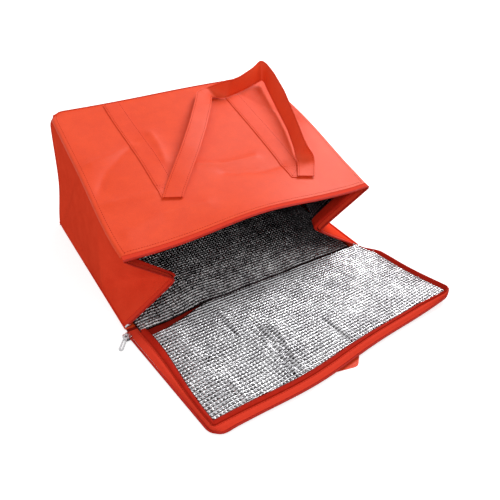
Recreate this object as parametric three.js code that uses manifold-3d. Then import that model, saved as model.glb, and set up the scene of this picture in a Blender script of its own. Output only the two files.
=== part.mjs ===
// Insulated shopping bag lying on its back, with its lid folded open onto the floor and its mouth
// half slumped. Millimetres, +Z up. +X runs across the bag, +Y from the mouth to the base.
import * as THREE from 'three';
import Module from 'manifold-3d';
import { mergeVertices } from 'three/addons/utils/BufferGeometryUtils.js';

const wasm = await Module();
wasm.setup();

// Cloth walls
const WIDTH = 350;
const PANEL_LENGTH = 268;
const BASE_DEPTH = 170;
const MOUTH_DEPTH = 94;
const CLOTH = 0.8;
const FOAM = 2.2;
const BOARD = 2;
const GAP = 0.3;
const EDGE_PLAY = 1.6;

// How the soft bag sits: the front wall leans sideways, narrows at the base and the gussets fold in
const BACK_CENTRE_X = -3;
const FRONT_LEAN = 9;
const BASE_CORNER_PINCH = 7;

// A gusset's fold: how deep it goes at the mouth, how far back it runs out, and at which share of
// the gusset's height. It starts half way up at the mouth.
const LEFT_FOLD = { depth: 65, end: 78, endShare: 0.12 };
const RIGHT_FOLD = { depth: 75, end: 208, endShare: 0.5 };
const FOLD_START_SHARE = 0.5;

// Hem, zip and straps
const HEM_WIDTH = 14;
const TAPE_WIDTH = 5;
const TAPE_SEAM = 0.6;
const COIL_WIDTH = 2.7;
const COIL_THICK = 2;
const STOP_LENGTH = 3;
const STRAP_WIDTH = 25;
const STRAP_THICK = 1;
const STRAP_SPACING = 176;
const FRONT_FOLD_LEFT = 62;
const FRONT_FOLD_RIGHT = 42;
const BACK_FOLD = 62;
const STRAP_END_MARGIN = 4;
const LOOP_ROOT_GAP = 0.6;
const FOLD_REACH = 22;

// Lid
const LID_BORDER = 6.5;
const LID_TAPE_WIDTH = 10.5;
const LID_LEFT_LENGTH = 176;
const LID_RIGHT_LENGTH = 148;
const LID_LEFT_ANGLE = 6.2;
const LID_RIGHT_ANGLE = 7.4;
const LID_HINGE_ANGLE = 1.25;
const LID_HINGE_MIDDLE = [4, -9];
const LID_LEFT_RADIUS = 15;
const LID_RIGHT_RADIUS = 24;
const LEAST_RADIUS = 1.5;
const LID_CURL = 8;
const LID_CURL_REACH = 95;
const ZIP_START = 7;
const HINGE_PLAY = 0.6;

// Zip slider and its pull tab
const SLIDER_LENGTH = 9;
const SLIDER_WEB = 1.2;
const SLIDER_PLATE = 1;
const SLIDER_LIP = 0.7;
const CROWN_LENGTH = 5.4;
const CROWN_WIDTH = 1.6;
const CROWN_BAR = 0.8;
const CROWN_HEIGHT = 3.6;
const PULL_LENGTH = 23;
const PULL_WIDTH = 5.8;
const PULL_THICK = 1;
const PULL_EYE = 5.4;
const PULL_RAIL = 1;
const PULL_AZIMUTH = 229;
const PULL_DROP = 11;

// Bend of the back carrying loop, flat on the floor
const BACK_BEND_X = 16;
const BACK_BEND_Y = -150;
const BACK_BEND_RADIUS = 19;

// Grid counts of the curved sheets
const WALL_ROWS = 6;
const WALL_COLUMNS = 4;
const LID_COLUMNS = 20;
const FRONT_LOOP_SECTIONS = 72;
const BACK_LOOP_SECTIONS = 48;

const RED = { color: 0xe8482e, roughness: 0.85, metalness: 0 };
const DARK_RED = { color: 0xc23a26, roughness: 0.85, metalness: 0 };
const COIL_RED = { color: 0xc23a26, roughness: 0.5, metalness: 0 };
const SILVER_FOIL = { color: 0xc9ccd0, roughness: 0.35, metalness: 0.6 };
const STEEL = { color: 0xb8babd, roughness: 0.3, metalness: 0.9 };
const BOARD_GREY = { color: 0x8a8378, roughness: 0.8, metalness: 0 };

const radians = THREE.MathUtils.degToRad;
const lerp = THREE.MathUtils.lerp;
const up = new THREE.Vector3(0, 0, 1);

// Layers of a wall, as distances out of its outer face
const SHELL = [-CLOTH, 0];
const LINING = [-CLOTH - GAP - FOAM, -CLOTH - GAP];
const HEM = [LINING[0] - GAP - CLOTH, LINING[0] - GAP];
const SEWN_STRAP = [GAP, GAP + STRAP_THICK];
const TAPE = [-CLOTH * 1.5, -CLOTH * 0.5];
const COIL = [-CLOTH - COIL_THICK / 2, -CLOTH + COIL_THICK / 2];
const ZIP_WIDTH = TAPE_SEAM + TAPE_WIDTH + GAP + COIL_WIDTH;

const bag = new THREE.Group();

function addPiece(name, geometry, finish) {
  const mesh = new THREE.Mesh(geometry, new THREE.MeshStandardMaterial(finish));
  mesh.name = name;
  bag.add(mesh);
}

// A closed solid between two equal grids of points, one for each face of a sheet
function slab(faceA, faceB) {
  const rows = faceA.length;
  const columns = faceA[0].length;
  const points = [...faceA.flat(), ...faceB.flat()];
  const at = (side, row, column) => side * rows * columns + row * columns + column;
  const index = [];
  const quad = (a, b, c, d) => index.push(a, b, c, a, c, d);
  const end = rows - 1;
  const edge = columns - 1;
  for (let r = 0; r < end; r += 1) {
    for (let c = 0; c < edge; c += 1) {
      quad(at(0, r, c), at(0, r, c + 1), at(0, r + 1, c + 1), at(0, r + 1, c));
      quad(at(1, r, c), at(1, r + 1, c), at(1, r + 1, c + 1), at(1, r, c + 1));
    }
    quad(at(0, r, 0), at(0, r + 1, 0), at(1, r + 1, 0), at(1, r, 0));
    quad(at(0, r + 1, edge), at(0, r, edge), at(1, r, edge), at(1, r + 1, edge));
  }
  for (let c = 0; c < edge; c += 1) {
    quad(at(0, 0, c + 1), at(0, 0, c), at(1, 0, c), at(1, 0, c + 1));
    quad(at(0, end, c), at(0, end, c + 1), at(1, end, c + 1), at(1, end, c));
  }
  let volume = 0;
  for (let i = 0; i < index.length; i += 3) {
    const [a, b, c] = [points[index[i]], points[index[i + 1]], points[index[i + 2]]];
    volume += a.dot(b.clone().cross(c));
  }
  if (volume < 0) {
    index.reverse();
  }
  const geometry = new THREE.BufferGeometry();
  geometry.setFromPoints(points);
  geometry.setIndex(index);
  geometry.computeVertexNormals();
  return geometry;
}

// Evenly spaced values with both ends
function steps(from, to, count) {
  return Array.from({ length: count + 1 }, (_, i) => lerp(from, to, i / count));
}

// A layer of a wall: rows run along it, and each row reaches from its left to its right edge
function wallLayer(wall, rows, left, right, across, [low, high]) {
  const line = (row, offset) => steps(left(row), right(row), across).map((x) => wall(x, row, offset));
  const face = (offset) => rows.map((row) => line(row, offset));
  return slab(face(high), face(low));
}

// Back wall: flat, on the sewn straps. Row is the distance from the mouth.
const backOuterZ = STRAP_THICK + GAP;
const backLeft = () => BACK_CENTRE_X - WIDTH / 2;
const backRight = () => BACK_CENTRE_X + WIDTH / 2;
const backWall = (x, row, offset) => new THREE.Vector3(x, row, backOuterZ - offset);

// Front wall: a plane from its seam with the base down to the slumped mouth
const frontCentreX = BACK_CENTRE_X + FRONT_LEAN;
const seamZ = backOuterZ + BASE_DEPTH;
const frontSlope = Math.asin((seamZ - MOUTH_DEPTH - backOuterZ) / (PANEL_LENGTH + ZIP_WIDTH));
const frontHalf = (row) => WIDTH / 2 - BASE_CORNER_PINCH * Math.max(0, row / PANEL_LENGTH) ** 2;
const frontLeft = (row) => frontCentreX - frontHalf(row);
const frontRight = (row) => frontCentreX + frontHalf(row);
function frontWall(x, row, offset) {
  const down = PANEL_LENGTH - row;
  const y = PANEL_LENGTH - down * Math.cos(frontSlope) - offset * Math.sin(frontSlope);
  const z = seamZ - down * Math.sin(frontSlope) + offset * Math.cos(frontSlope);
  return new THREE.Vector3(x, y, z);
}
function frontZ(y, offset) {
  const drop = (PANEL_LENGTH - y) * Math.tan(frontSlope);
  return seamZ - drop + offset / Math.cos(frontSlope);
}
const frontRow = (y) => PANEL_LENGTH - (PANEL_LENGTH - y) / Math.cos(frontSlope);

// Base wall: upright, row is the height
const baseOuterY = PANEL_LENGTH + 2 * GAP + CLOTH;
const baseShare = (z) => (z - backOuterZ) / BASE_DEPTH;
const baseLeft = (z) => lerp(backLeft(), frontLeft(PANEL_LENGTH), baseShare(z));
const baseRight = (z) => lerp(backRight(), frontRight(PANEL_LENGTH), baseShare(z));
const baseWall = (x, row, offset) => new THREE.Vector3(x, baseOuterY + offset, row);

// Gussets: a section across the bag with a V that deepens from near the base to the mouth
const mouthY = PANEL_LENGTH * (1 - Math.cos(frontSlope));
const gussetEndY = PANEL_LENGTH;
const gussetLowZ = backOuterZ + CLOTH + GAP;
const gussetHighZ = (y) => frontZ(y, y < mouthY ? COIL[0] : -CLOTH) - GAP;
const gussetFold = (side) => (side < 0 ? LEFT_FOLD : RIGHT_FOLD);
function gussetSection(side, y) {
  const inside = Math.max(y, mouthY);
  const low = side < 0 ? backLeft() : backRight();
  const row = frontRow(inside);
  const high = side < 0 ? frontLeft(row) : frontRight(row);
  const highZ = gussetHighZ(y);
  const { depth, end, endShare } = gussetFold(side);
  const folded = THREE.MathUtils.clamp((end - inside) / (end - mouthY), 0, 1);
  const share = lerp(endShare, FOLD_START_SHARE, folded);
  const fold = [lerp(low, high, share) - side * depth * folded, lerp(gussetLowZ, highZ, share)];
  return [[low, gussetLowZ], fold, [high, highZ]];
}

// The line of one half of the V, moved into the bag by a distance: x at a height
const LEAST_SLOPE = 1e-6;
function halfLine(side, from, to, inward) {
  const run = to[0] - from[0];
  const rise = to[1] - from[1];
  const shift = (-side * inward * Math.hypot(run, rise)) / rise;
  return (z) => from[0] + ((z - from[1]) * run) / rise + shift;
}
function gussetLines(side, y, inward) {
  const [low, fold, high] = gussetSection(side, y);
  const lower = halfLine(side, low, fold, inward);
  const upper = halfLine(side, fold, high, inward);
  const lowerSlope = lower(1) - lower(0);
  const upperSlope = upper(1) - upper(0);
  const parallel = Math.abs(lowerSlope - upperSlope) < LEAST_SLOPE;
  const foldZ = parallel ? fold[1] : (upper(0) - lower(0)) / (lowerSlope - upperSlope);
  return { lower, upper, foldZ, lowZ: low[1], highZ: high[1] };
}
function gussetLayer(side, rows, [low, high], trim = 0) {
  const face = (offset) => rows.map((y) => {
    const { lower, upper, foldZ, lowZ, highZ } = gussetLines(side, y, -offset);
    const lowHalf = steps(lowZ + trim, foldZ, 2).map((z) => new THREE.Vector3(lower(z), y, z));
    const highHalf = steps(foldZ, highZ, 2).slice(1).map((z) => new THREE.Vector3(upper(z), y, z));
    return [...lowHalf, ...highHalf];
  });
  return slab(face(high), face(low));
}
function gussetRows(side) {
  return [mouthY, ...steps(mouthY + HEM_WIDTH, gussetFold(side).end, 4), gussetEndY];
}

// Where a lining of the back or front wall must stop to clear a gusset's lining or hem
const gussetReach = -HEM[0];
function backLiningEdge(side, y, layer) {
  const { lower } = gussetLines(side, y, gussetReach);
  return lower(backOuterZ - layer[0]) - side * EDGE_PLAY;
}
function frontLiningEdge(side, row, layer) {
  const y = frontWall(0, row, layer[0]).y;
  const { upper } = gussetLines(side, y, gussetReach);
  return upper(frontWall(0, row, layer[0]).z) - side * EDGE_PLAY;
}

const liningEndY = baseOuterY - CLOTH - GAP - BOARD - GAP - FOAM - GAP;
const baseLiningTop = frontZ(liningEndY, LINING[0]) - GAP;

function buildShell() {
  const rows = steps(0, PANEL_LENGTH, WALL_ROWS);
  const heights = steps(backOuterZ, seamZ, 3);
  addPiece('back_panel', wallLayer(backWall, rows, backLeft, backRight, WALL_COLUMNS, SHELL), RED);
  addPiece('front_panel', wallLayer(frontWall, rows, frontLeft, frontRight, WALL_COLUMNS, SHELL), RED);
  addPiece('base_panel', wallLayer(baseWall, heights, baseLeft, baseRight, WALL_COLUMNS, SHELL), RED);
  addPiece('left_gusset', gussetLayer(-1, gussetRows(-1), SHELL), DARK_RED);
  addPiece('right_gusset', gussetLayer(1, gussetRows(1), SHELL), DARK_RED);
}

function buildLining() {
  const boardOut = baseOuterY - CLOTH - GAP;
  const insideLeft = (z) => gussetLines(-1, gussetEndY, gussetReach).lower(z) + GAP;
  const insideRight = (z) => gussetLines(1, gussetEndY, gussetReach).lower(z) - GAP;
  const heights = steps(gussetLowZ, baseLiningTop, 3);
  const boardFace = [boardOut - BOARD - baseOuterY, boardOut - baseOuterY];
  const foamFace = [boardFace[0] - GAP - FOAM, boardFace[0] - GAP];
  const inner = (faces) => wallLayer(baseWall, heights, insideLeft, insideRight, 2, faces);
  addPiece('base_board', inner(boardFace), BOARD_GREY);
  addPiece('base_lining', inner(foamFace), SILVER_FOIL);

  // The back and front linings have a row where each gusset's fold runs out
  const foldEnds = [LEFT_FOLD.end, RIGHT_FOLD.end];
  const inOrder = (rows) => rows.sort((a, b) => a - b);
  const backRows = inOrder([...steps(GAP, liningEndY, WALL_ROWS), ...foldEnds]);
  const backEdge = (side) => (y) => backLiningEdge(side, y, LINING);
  const back = wallLayer(backWall, backRows, backEdge(-1), backEdge(1), WALL_COLUMNS, LINING);
  addPiece('back_lining', back, SILVER_FOIL);
  const frontRows = inOrder([...steps(0, frontRow(liningEndY), WALL_ROWS), ...foldEnds.map(frontRow)]);
  const frontEdge = (side) => (row) => frontLiningEdge(side, row, LINING);
  const front = wallLayer(frontWall, frontRows, frontEdge(-1), frontEdge(1), WALL_COLUMNS, LINING);
  addPiece('front_lining', front, SILVER_FOIL);
  for (const [side, name] of [[-1, 'left'], [1, 'right']]) {
    addPiece(`${name}_gusset_lining`, gussetLayer(side, gussetRows(side), LINING), SILVER_FOIL);
  }
}

// Hem, zip tape and zip coil, layer on layer, round the mouth
function buildMouth() {
  const tapeOut = -TAPE_SEAM - TAPE_WIDTH;
  const coilOut = tapeOut - GAP - COIL_WIDTH;
  const pieces = [
    ['hem', HEM_WIDTH, 0, HEM, DARK_RED],
    ['zip_tape', -TAPE_SEAM, tapeOut, TAPE, DARK_RED],
    ['zip_coil', tapeOut - GAP, coilOut, COIL, COIL_RED],
  ];
  for (const [kind, from, to, layer, finish] of pieces) {
    const left = (row) => (kind === 'hem' ? frontLiningEdge(-1, row, HEM) : frontLeft(0));
    const right = (row) => (kind === 'hem' ? frontLiningEdge(1, row, HEM) : frontRight(0));
    const front = wallLayer(frontWall, [to, from], left, right, WALL_COLUMNS, layer);
    addPiece(`front_mouth_${kind}`, front, finish);
    for (const [side, name] of [[-1, 'left'], [1, 'right']]) {
      const trim = kind === 'zip_coil' ? STOP_LENGTH + GAP : 0;
      const strip = gussetLayer(side, [mouthY + to, mouthY + from], layer, trim);
      addPiece(`${name}_mouth_${kind}`, strip, finish);
    }
  }
  for (const [side, name] of [[-1, 'left'], [1, 'right']]) {
    const face = (offset) => [coilOut, tapeOut - GAP].map((out) => {
      const { lower, lowZ } = gussetLines(side, mouthY, -offset);
      return [lowZ, lowZ + STOP_LENGTH].map((z) => new THREE.Vector3(lower(z), mouthY + out, z));
    });
    addPiece(`${name}_zip_stop`, slab(face(COIL[1]), face(COIL[0])), STEEL);
  }
}

// Lid: a soft four-cornered sheet. Its own place is (across, out): across from the left end of the
// hinge edge, out from the hinge edge. Both are distances in a flat lid, bent to the lid's real lie.
const lidWidth = WIDTH + 2 * ZIP_WIDTH;
const lidUnder = SLIDER_PLATE + GAP + COIL_THICK / 2 - CLOTH / 2;
function turn(length, angle) {
  return [length * Math.cos(radians(angle)), length * Math.sin(radians(angle))];
}
const hingeHalf = turn(lidWidth / 2, LID_HINGE_ANGLE);
const hingeLeft = [LID_HINGE_MIDDLE[0] - hingeHalf[0], LID_HINGE_MIDDLE[1] - hingeHalf[1]];
const hingeRight = [LID_HINGE_MIDDLE[0] + hingeHalf[0], LID_HINGE_MIDDLE[1] + hingeHalf[1]];
const leftRun = turn(LID_LEFT_LENGTH, LID_LEFT_ANGLE - 90);
const rightRun = turn(LID_RIGHT_LENGTH, LID_RIGHT_ANGLE - 90);
const nearRight = [hingeRight[0] + rightRun[0], hingeRight[1] + rightRun[1]];
function lidSurface(across, out, height) {
  const u = across / lidWidth;
  const v = out / LID_LEFT_LENGTH;
  const place = [0, 1].map((k) => {
    const left = hingeLeft[k] + leftRun[k] * v;
    const right = hingeRight[k] + rightRun[k] * v;
    return lerp(left, right, u);
  });
  const away = Math.hypot(place[0] - nearRight[0], place[1] - nearRight[1]);
  const curl = LID_CURL * Math.max(0, 1 - away / LID_CURL_REACH) ** 2;
  return new THREE.Vector3(place[0], place[1], lidUnder + height + curl);
}

// How far a rounded corner pulls the edge in, for an edge that is itself inset
const cornerRadius = (radius, inset) => Math.max(radius - inset, LEAST_RADIUS);
function cornerPull(out, inset, radius) {
  const r = cornerRadius(radius, inset);
  const past = out - (LID_LEFT_LENGTH - inset - r);
  return past <= 0 ? 0 : r - Math.sqrt(Math.max(r * r - past * past, 0));
}
const lidRows = (inset, start) => {
  const end = LID_LEFT_LENGTH - inset;
  const straight = end - LID_RIGHT_RADIUS;
  return [...steps(start, straight, 7), ...steps(straight, end, 6).slice(1)];
};
function lidLayer(inset, start, [low, high]) {
  const left = (out) => inset + cornerPull(out, inset, LID_LEFT_RADIUS);
  const right = (out) => lidWidth - inset - cornerPull(out, inset, LID_RIGHT_RADIUS);
  return wallLayer(lidSurface, lidRows(inset, start), left, right, LID_COLUMNS, [low, high]);
}

// A place on the lid's rim, some way along it, on a line that is inset from the rim
function rimPlace(inset, along) {
  const leftR = cornerRadius(LID_LEFT_RADIUS, inset);
  const rightR = cornerRadius(LID_RIGHT_RADIUS, inset);
  const leftBend = inset + leftR;
  const rightBend = inset + rightR;
  if (along <= rimCorner1) {
    return [inset, Math.min(along, LID_LEFT_LENGTH - leftBend)];
  }
  if (along < rimCorner2) {
    const angle = (along - rimCorner1) / LID_LEFT_RADIUS;
    const out = LID_LEFT_LENGTH - leftBend + leftR * Math.sin(angle);
    return [leftBend - leftR * Math.cos(angle), out];
  }
  if (along <= rimCorner3) {
    const across = LID_LEFT_RADIUS + along - rimCorner2;
    return [THREE.MathUtils.clamp(across, leftBend, lidWidth - rightBend), LID_LEFT_LENGTH - inset];
  }
  if (along < rimCorner4) {
    const angle = (along - rimCorner3) / LID_RIGHT_RADIUS;
    const out = LID_LEFT_LENGTH - rightBend + rightR * Math.cos(angle);
    return [lidWidth - rightBend + rightR * Math.sin(angle), out];
  }
  return [lidWidth - inset, Math.min(rimEnd - along, LID_LEFT_LENGTH - rightBend)];
}
const rimCorner1 = LID_LEFT_LENGTH - LID_LEFT_RADIUS;
const rimCorner2 = rimCorner1 + (LID_LEFT_RADIUS * Math.PI) / 2;
const rimCorner3 = rimCorner2 + lidWidth - LID_LEFT_RADIUS - LID_RIGHT_RADIUS;
const rimCorner4 = rimCorner3 + (LID_RIGHT_RADIUS * Math.PI) / 2;
const rimEnd = rimCorner4 + LID_LEFT_LENGTH - LID_RIGHT_RADIUS;
function rimStrip(from, to, insetOut, insetIn, [low, high]) {
  const stops = [
    from,
    ...steps(rimCorner1, rimCorner2, 5),
    ...steps(rimCorner2, rimCorner3, 16).slice(1, -1),
    ...steps(rimCorner3, rimCorner4, 6),
    ...steps(rimCorner4, rimEnd, 7).slice(1, -1),
    to,
  ];
  const rows = stops.filter((stop) => stop >= from && stop <= to);
  const face = (height) => rows.map((stop) => [insetOut, insetIn].map((inset) => {
    const [across, out] = rimPlace(inset, stop);
    return lidSurface(across, out, height);
  }));
  return slab(face(high), face(low));
}

function buildLid() {
  const tapeIn = COIL_WIDTH + GAP;
  const panelInset = tapeIn + LID_TAPE_WIDTH + TAPE_SEAM;
  const liningInset = panelInset + LID_BORDER + GAP;
  const liningHeight = [CLOTH + GAP, CLOTH + GAP + FOAM];
  const borderHeight = [CLOTH + GAP, CLOTH + GAP + FOAM + CLOTH];
  addPiece('lid_panel', lidLayer(panelInset, 0, [0, CLOTH]), RED);
  addPiece('lid_lining', lidLayer(liningInset, 0, liningHeight), SILVER_FOIL);
  const middle1 = (rimCorner1 + rimCorner2) / 2;
  const middle2 = (rimCorner3 + rimCorner4) / 2;
  const borders = [
    ['left', 0, middle1 - GAP],
    ['front', middle1 + GAP, middle2 - GAP],
    ['right', middle2 + GAP, rimEnd],
  ];
  for (const [name, from, to] of borders) {
    const strip = rimStrip(from, to, panelInset, panelInset + LID_BORDER, borderHeight);
    addPiece(`lid_border_${name}`, strip, RED);
  }
  const coilHeight = [CLOTH / 2 - COIL_THICK / 2, CLOTH / 2 + COIL_THICK / 2];
  const tape = rimStrip(-ZIP_START, rimEnd, tapeIn, tapeIn + LID_TAPE_WIDTH, [0, CLOTH]);
  addPiece('lid_zip_tape', tape, DARK_RED);
  addPiece('lid_zip_coil', rimStrip(-ZIP_START, rimEnd, 0, COIL_WIDTH, coilHeight), COIL_RED);

  // The cloth strip that hinges the lid fills the wedge between the back panel and the lid
  const lidEdge = (x) => lidSurface(x - hingeLeft[0], 0, 0).y;
  const left = lidSurface(panelInset, 0, 0).x + HINGE_PLAY;
  const places = steps(left, backRight(), WALL_ROWS).map((x) => [x, lidEdge(x) + HINGE_PLAY]);
  const face = (z) => places.map(([x, near]) => [near, -GAP].map((y) => new THREE.Vector3(x, y, z)));
  addPiece('hinge_strip', slab(face(backOuterZ + CLOTH), face(backOuterZ)), DARK_RED);
}

// A strap swept along a smooth line, with its width direction turned about the line by a roll angle.
// Over the first and last stretch it turns to lie along the fold at its root.
function ribbon(points, rolls, faceUp, fold, sections) {
  const line = new THREE.CatmullRomCurve3(points, false, 'centripetal');
  line.arcLengthDivisions = 400;
  const length = line.getLength();
  const rollAt = (t) => {
    const place = t * (rolls.length - 1);
    const k = Math.min(Math.floor(place), rolls.length - 2);
    const share = THREE.MathUtils.smoothstep(place - k, 0, 1);
    return radians(lerp(rolls[k], rolls[k + 1], share));
  };
  const face = (sign) => steps(0, 1, sections).map((u) => {
    const t = line.getUtoTmapping(u);
    const centre = line.getPoint(t);
    const ahead = line.getTangent(t);
    const side = ahead.clone().cross(faceUp).normalize();
    const normal = side.clone().cross(ahead).normalize();
    const square = side.multiplyScalar(Math.cos(rollAt(t))).addScaledVector(normal, Math.sin(rollAt(t)));
    const fromRoot = Math.min(u, 1 - u) * length;
    const pull = Math.max(0, 1 - fromRoot / FOLD_REACH);
    const root = fold.clone().multiplyScalar(Math.sign(fold.dot(square)));
    const across = square.clone().lerp(root, pull).normalize();
    const out = across.clone().cross(ahead).normalize().multiplyScalar((sign * STRAP_THICK) / 2);
    const half = STRAP_WIDTH / 2 / across.dot(square);
    return [-half, half].map((k) => centre.clone().addScaledVector(across, k).add(out));
  });
  return slab(face(1), face(-1));
}

const frontStrapX = (side) => frontCentreX + (side * STRAP_SPACING) / 2;
const backStrapX = (side) => BACK_CENTRE_X + (side * STRAP_SPACING) / 2;
const frontFold = (side) => (side < 0 ? FRONT_FOLD_LEFT : FRONT_FOLD_RIGHT);
const loopHeight = SEWN_STRAP[1] + GAP + STRAP_THICK / 2;

function buildStraps() {
  for (const [side, name] of [[-1, 'left'], [1, 'right']]) {
    const sewn = (wall, x, from) => wallLayer(wall, steps(from, PANEL_LENGTH - STRAP_END_MARGIN, 2),
      () => x - STRAP_WIDTH / 2, () => x + STRAP_WIDTH / 2, 1, SEWN_STRAP);
    addPiece(`front_strap_${name}`, sewn(frontWall, frontStrapX(side), frontFold(side)), RED);
    addPiece(`back_strap_${name}`, sewn(backWall, backStrapX(side), BACK_FOLD + LOOP_ROOT_GAP), RED);
  }

  // The front loop, flipped back over the panel: across, distance from the mouth, height, roll
  const loopRoot = [frontStrapX(-1), frontFold(-1) + LOOP_ROOT_GAP];
  const loopEnd = [frontStrapX(1), frontFold(1) + LOOP_ROOT_GAP];
  const stations = [
    [...loopRoot, loopHeight, 0],
    [-47, 100, 4.5, 0],
    [-16, 140, 8, 0],
    [18, 185, 12, 0],
    [44, 219, 15, 8],
    [60, 229, 16, 80],
    [78, 233, 15, 145],
    [104, 240, 12, 152],
    [134, 249, 13, 150],
    [157, 257, 14, 140],
    [164, 250, 15, 132],
    [158, 225, 15, 124],
    [147, 175, 15, 121],
    [134, 120, 14, 121],
    [121, 78, 12, 125],
    [112, 60, 9, 152],
    [102, 50, 4.5, 172],
    [...loopEnd, loopHeight, 180],
  ];
  const line = stations.map(([x, row, height]) => frontWall(x, row, height));
  const normal = new THREE.Vector3(0, -Math.sin(frontSlope), Math.cos(frontSlope));
  const fold = line[line.length - 1].clone().sub(line[0]).normalize();
  const rolls = stations.map((station) => station[3]);
  addPiece('front_handle_loop', ribbon(line, rolls, normal, fold, FRONT_LOOP_SECTIONS), RED);

  // The back loop lies flat under the bag and the lid, and its bend peeps out past the lid
  const bend = steps(0, Math.PI, 8).map((angle) => [
    BACK_BEND_X - BACK_BEND_RADIUS * Math.cos(angle),
    BACK_BEND_Y - BACK_BEND_RADIUS * Math.sin(angle),
  ]);
  const rootY = BACK_FOLD - LOOP_ROOT_GAP;
  const legs = (side) => {
    const from = [backStrapX(side), rootY];
    const to = [BACK_BEND_X + side * BACK_BEND_RADIUS, BACK_BEND_Y];
    const slanting = [0.3, 0.55, 0.8].map((k) => [lerp(from[0], to[0], k), lerp(from[1], to[1], k)]);
    return [from, [from[0], rootY - 4], [from[0], rootY - 12], ...slanting];
  };
  const route = [...legs(-1), ...bend, ...legs(1).reverse()];
  const points = route.map(([x, y]) => new THREE.Vector3(x, y, STRAP_THICK / 2));
  const flatRolls = points.map(() => 0);
  const across = new THREE.Vector3(1, 0, 0);
  addPiece('back_handle_loop', ribbon(points, flatRolls, up, across, BACK_LOOP_SECTIONS), RED);
}

// The slider's section round the coil on the lid's left edge, with a crown that holds the pull tab
const sliderInside = COIL_THICK + 2 * GAP;
const sliderTop = 2 * SLIDER_PLATE + sliderInside;
const sliderOrigin = lidSurface(0, 0, -lidUnder);
const sliderTravel = lidSurface(0, LID_LEFT_LENGTH, -lidUnder).sub(sliderOrigin).normalize();
const sliderAcross = new THREE.Vector3(-sliderTravel.y, sliderTravel.x, 0);
const sliderMiddle = sliderOrigin.clone().addScaledVector(sliderAcross, -GAP - SLIDER_WEB / 2);
const pullAway = new THREE.Vector3(Math.cos(radians(PULL_AZIMUTH)), Math.sin(radians(PULL_AZIMUTH)), 0);
const pullHinge = pullAway.clone().cross(up);
const pinHeight = sliderTop + CROWN_HEIGHT - CROWN_BAR - GAP - PULL_THICK / 2;

function sliderSection() {
  const half = SLIDER_WEB / 2 + COIL_WIDTH + 2 * GAP + SLIDER_LIP;
  const channelEnd = half - SLIDER_LIP;
  const lip = (sliderInside - CLOTH - 2 * GAP) / 2;
  const roof = SLIDER_PLATE + sliderInside;
  const side = [
    [half, 0], [half, SLIDER_PLATE + lip], [channelEnd, SLIDER_PLATE + lip], [channelEnd, SLIDER_PLATE],
    [SLIDER_WEB / 2, SLIDER_PLATE], [SLIDER_WEB / 2, roof], [channelEnd, roof], [channelEnd, roof - lip],
    [half, roof - lip], [half, sliderTop],
  ];
  const mirrored = [...side].reverse().map(([x, z]) => [-x, z]);
  return new THREE.Shape([...side, ...mirrored].map(([x, z]) => new THREE.Vector2(x, z)));
}

function crownSection() {
  const half = CROWN_LENGTH / 2;
  const inner = half - CROWN_BAR;
  const foot = -SLIDER_PLATE / 2;
  const arch = [
    [-half, foot], [-half, CROWN_HEIGHT], [half, CROWN_HEIGHT], [half, foot],
    [inner, foot], [inner, CROWN_HEIGHT - CROWN_BAR], [-inner, CROWN_HEIGHT - CROWN_BAR], [-inner, foot],
  ];
  return new THREE.Shape(arch.map(([x, z]) => new THREE.Vector2(x, z)));
}

const WELD = 1e-5;
function toSolid(geometry) {
  geometry.deleteAttribute('normal');
  geometry.deleteAttribute('uv');
  const merged = mergeVertices(geometry, WELD);
  const vertProperties = new Float32Array(merged.attributes.position.array);
  const triVerts = new Uint32Array(merged.index.array);
  return new wasm.Manifold(new wasm.Mesh({ numProp: 3, vertProperties, triVerts }));
}

function fromSolid(solid) {
  const mesh = solid.getMesh();
  const geometry = new THREE.BufferGeometry();
  geometry.setAttribute('position', new THREE.BufferAttribute(mesh.vertProperties, mesh.numProp));
  geometry.setIndex(new THREE.BufferAttribute(mesh.triVerts, 1));
  geometry.computeVertexNormals();
  return geometry;
}

// An extrusion whose section stands upright, centred on a place and running along a level direction
function uprightBar(shape, depth, place, along) {
  const geometry = new THREE.ExtrudeGeometry(shape, { depth, bevelEnabled: false });
  geometry.translate(0, 0, -depth / 2);
  const across = up.clone().cross(along);
  geometry.applyMatrix4(new THREE.Matrix4().makeBasis(across, up, along).setPosition(place));
  return geometry;
}

function buildSlider() {
  const body = toSolid(uprightBar(sliderSection(), SLIDER_LENGTH, sliderMiddle, sliderTravel));
  const crownPlace = sliderMiddle.clone().addScaledVector(up, sliderTop);
  const crown = toSolid(uprightBar(crownSection(), CROWN_WIDTH, crownPlace, pullHinge));
  addPiece('zip_slider', fromSolid(body.add(crown)), STEEL);

  const half = PULL_WIDTH / 2;
  const outline = new THREE.Shape();
  outline.moveTo(-PULL_THICK / 2, -half);
  outline.lineTo(PULL_LENGTH - half, -half);
  outline.absarc(PULL_LENGTH - half, 0, half, -Math.PI / 2, Math.PI / 2, false);
  outline.lineTo(-PULL_THICK / 2, half);
  outline.closePath();
  const rail = half - PULL_RAIL;
  const eye = [[PULL_THICK / 2, -rail], [PULL_THICK / 2, rail], [PULL_EYE, rail], [PULL_EYE, -rail]];
  outline.holes.push(new THREE.Path(eye.map(([x, y]) => new THREE.Vector2(x, y))));
  const extrusion = { depth: PULL_THICK, bevelEnabled: false, curveSegments: 6 };
  const tab = new THREE.ExtrudeGeometry(outline, extrusion);
  tab.translate(0, 0, -PULL_THICK / 2);
  const droop = pullAway.clone().applyAxisAngle(pullHinge, -radians(PULL_DROP));
  const place = sliderMiddle.clone().addScaledVector(up, pinHeight);
  const across = pullHinge.clone().negate();
  const lie = new THREE.Matrix4().makeBasis(droop, across, droop.clone().cross(across));
  tab.applyMatrix4(lie.setPosition(place));
  addPiece('zip_pull', tab, STEEL);
}

buildShell();
buildLining();
buildMouth();
buildLid();
buildStraps();
buildSlider();

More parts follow.
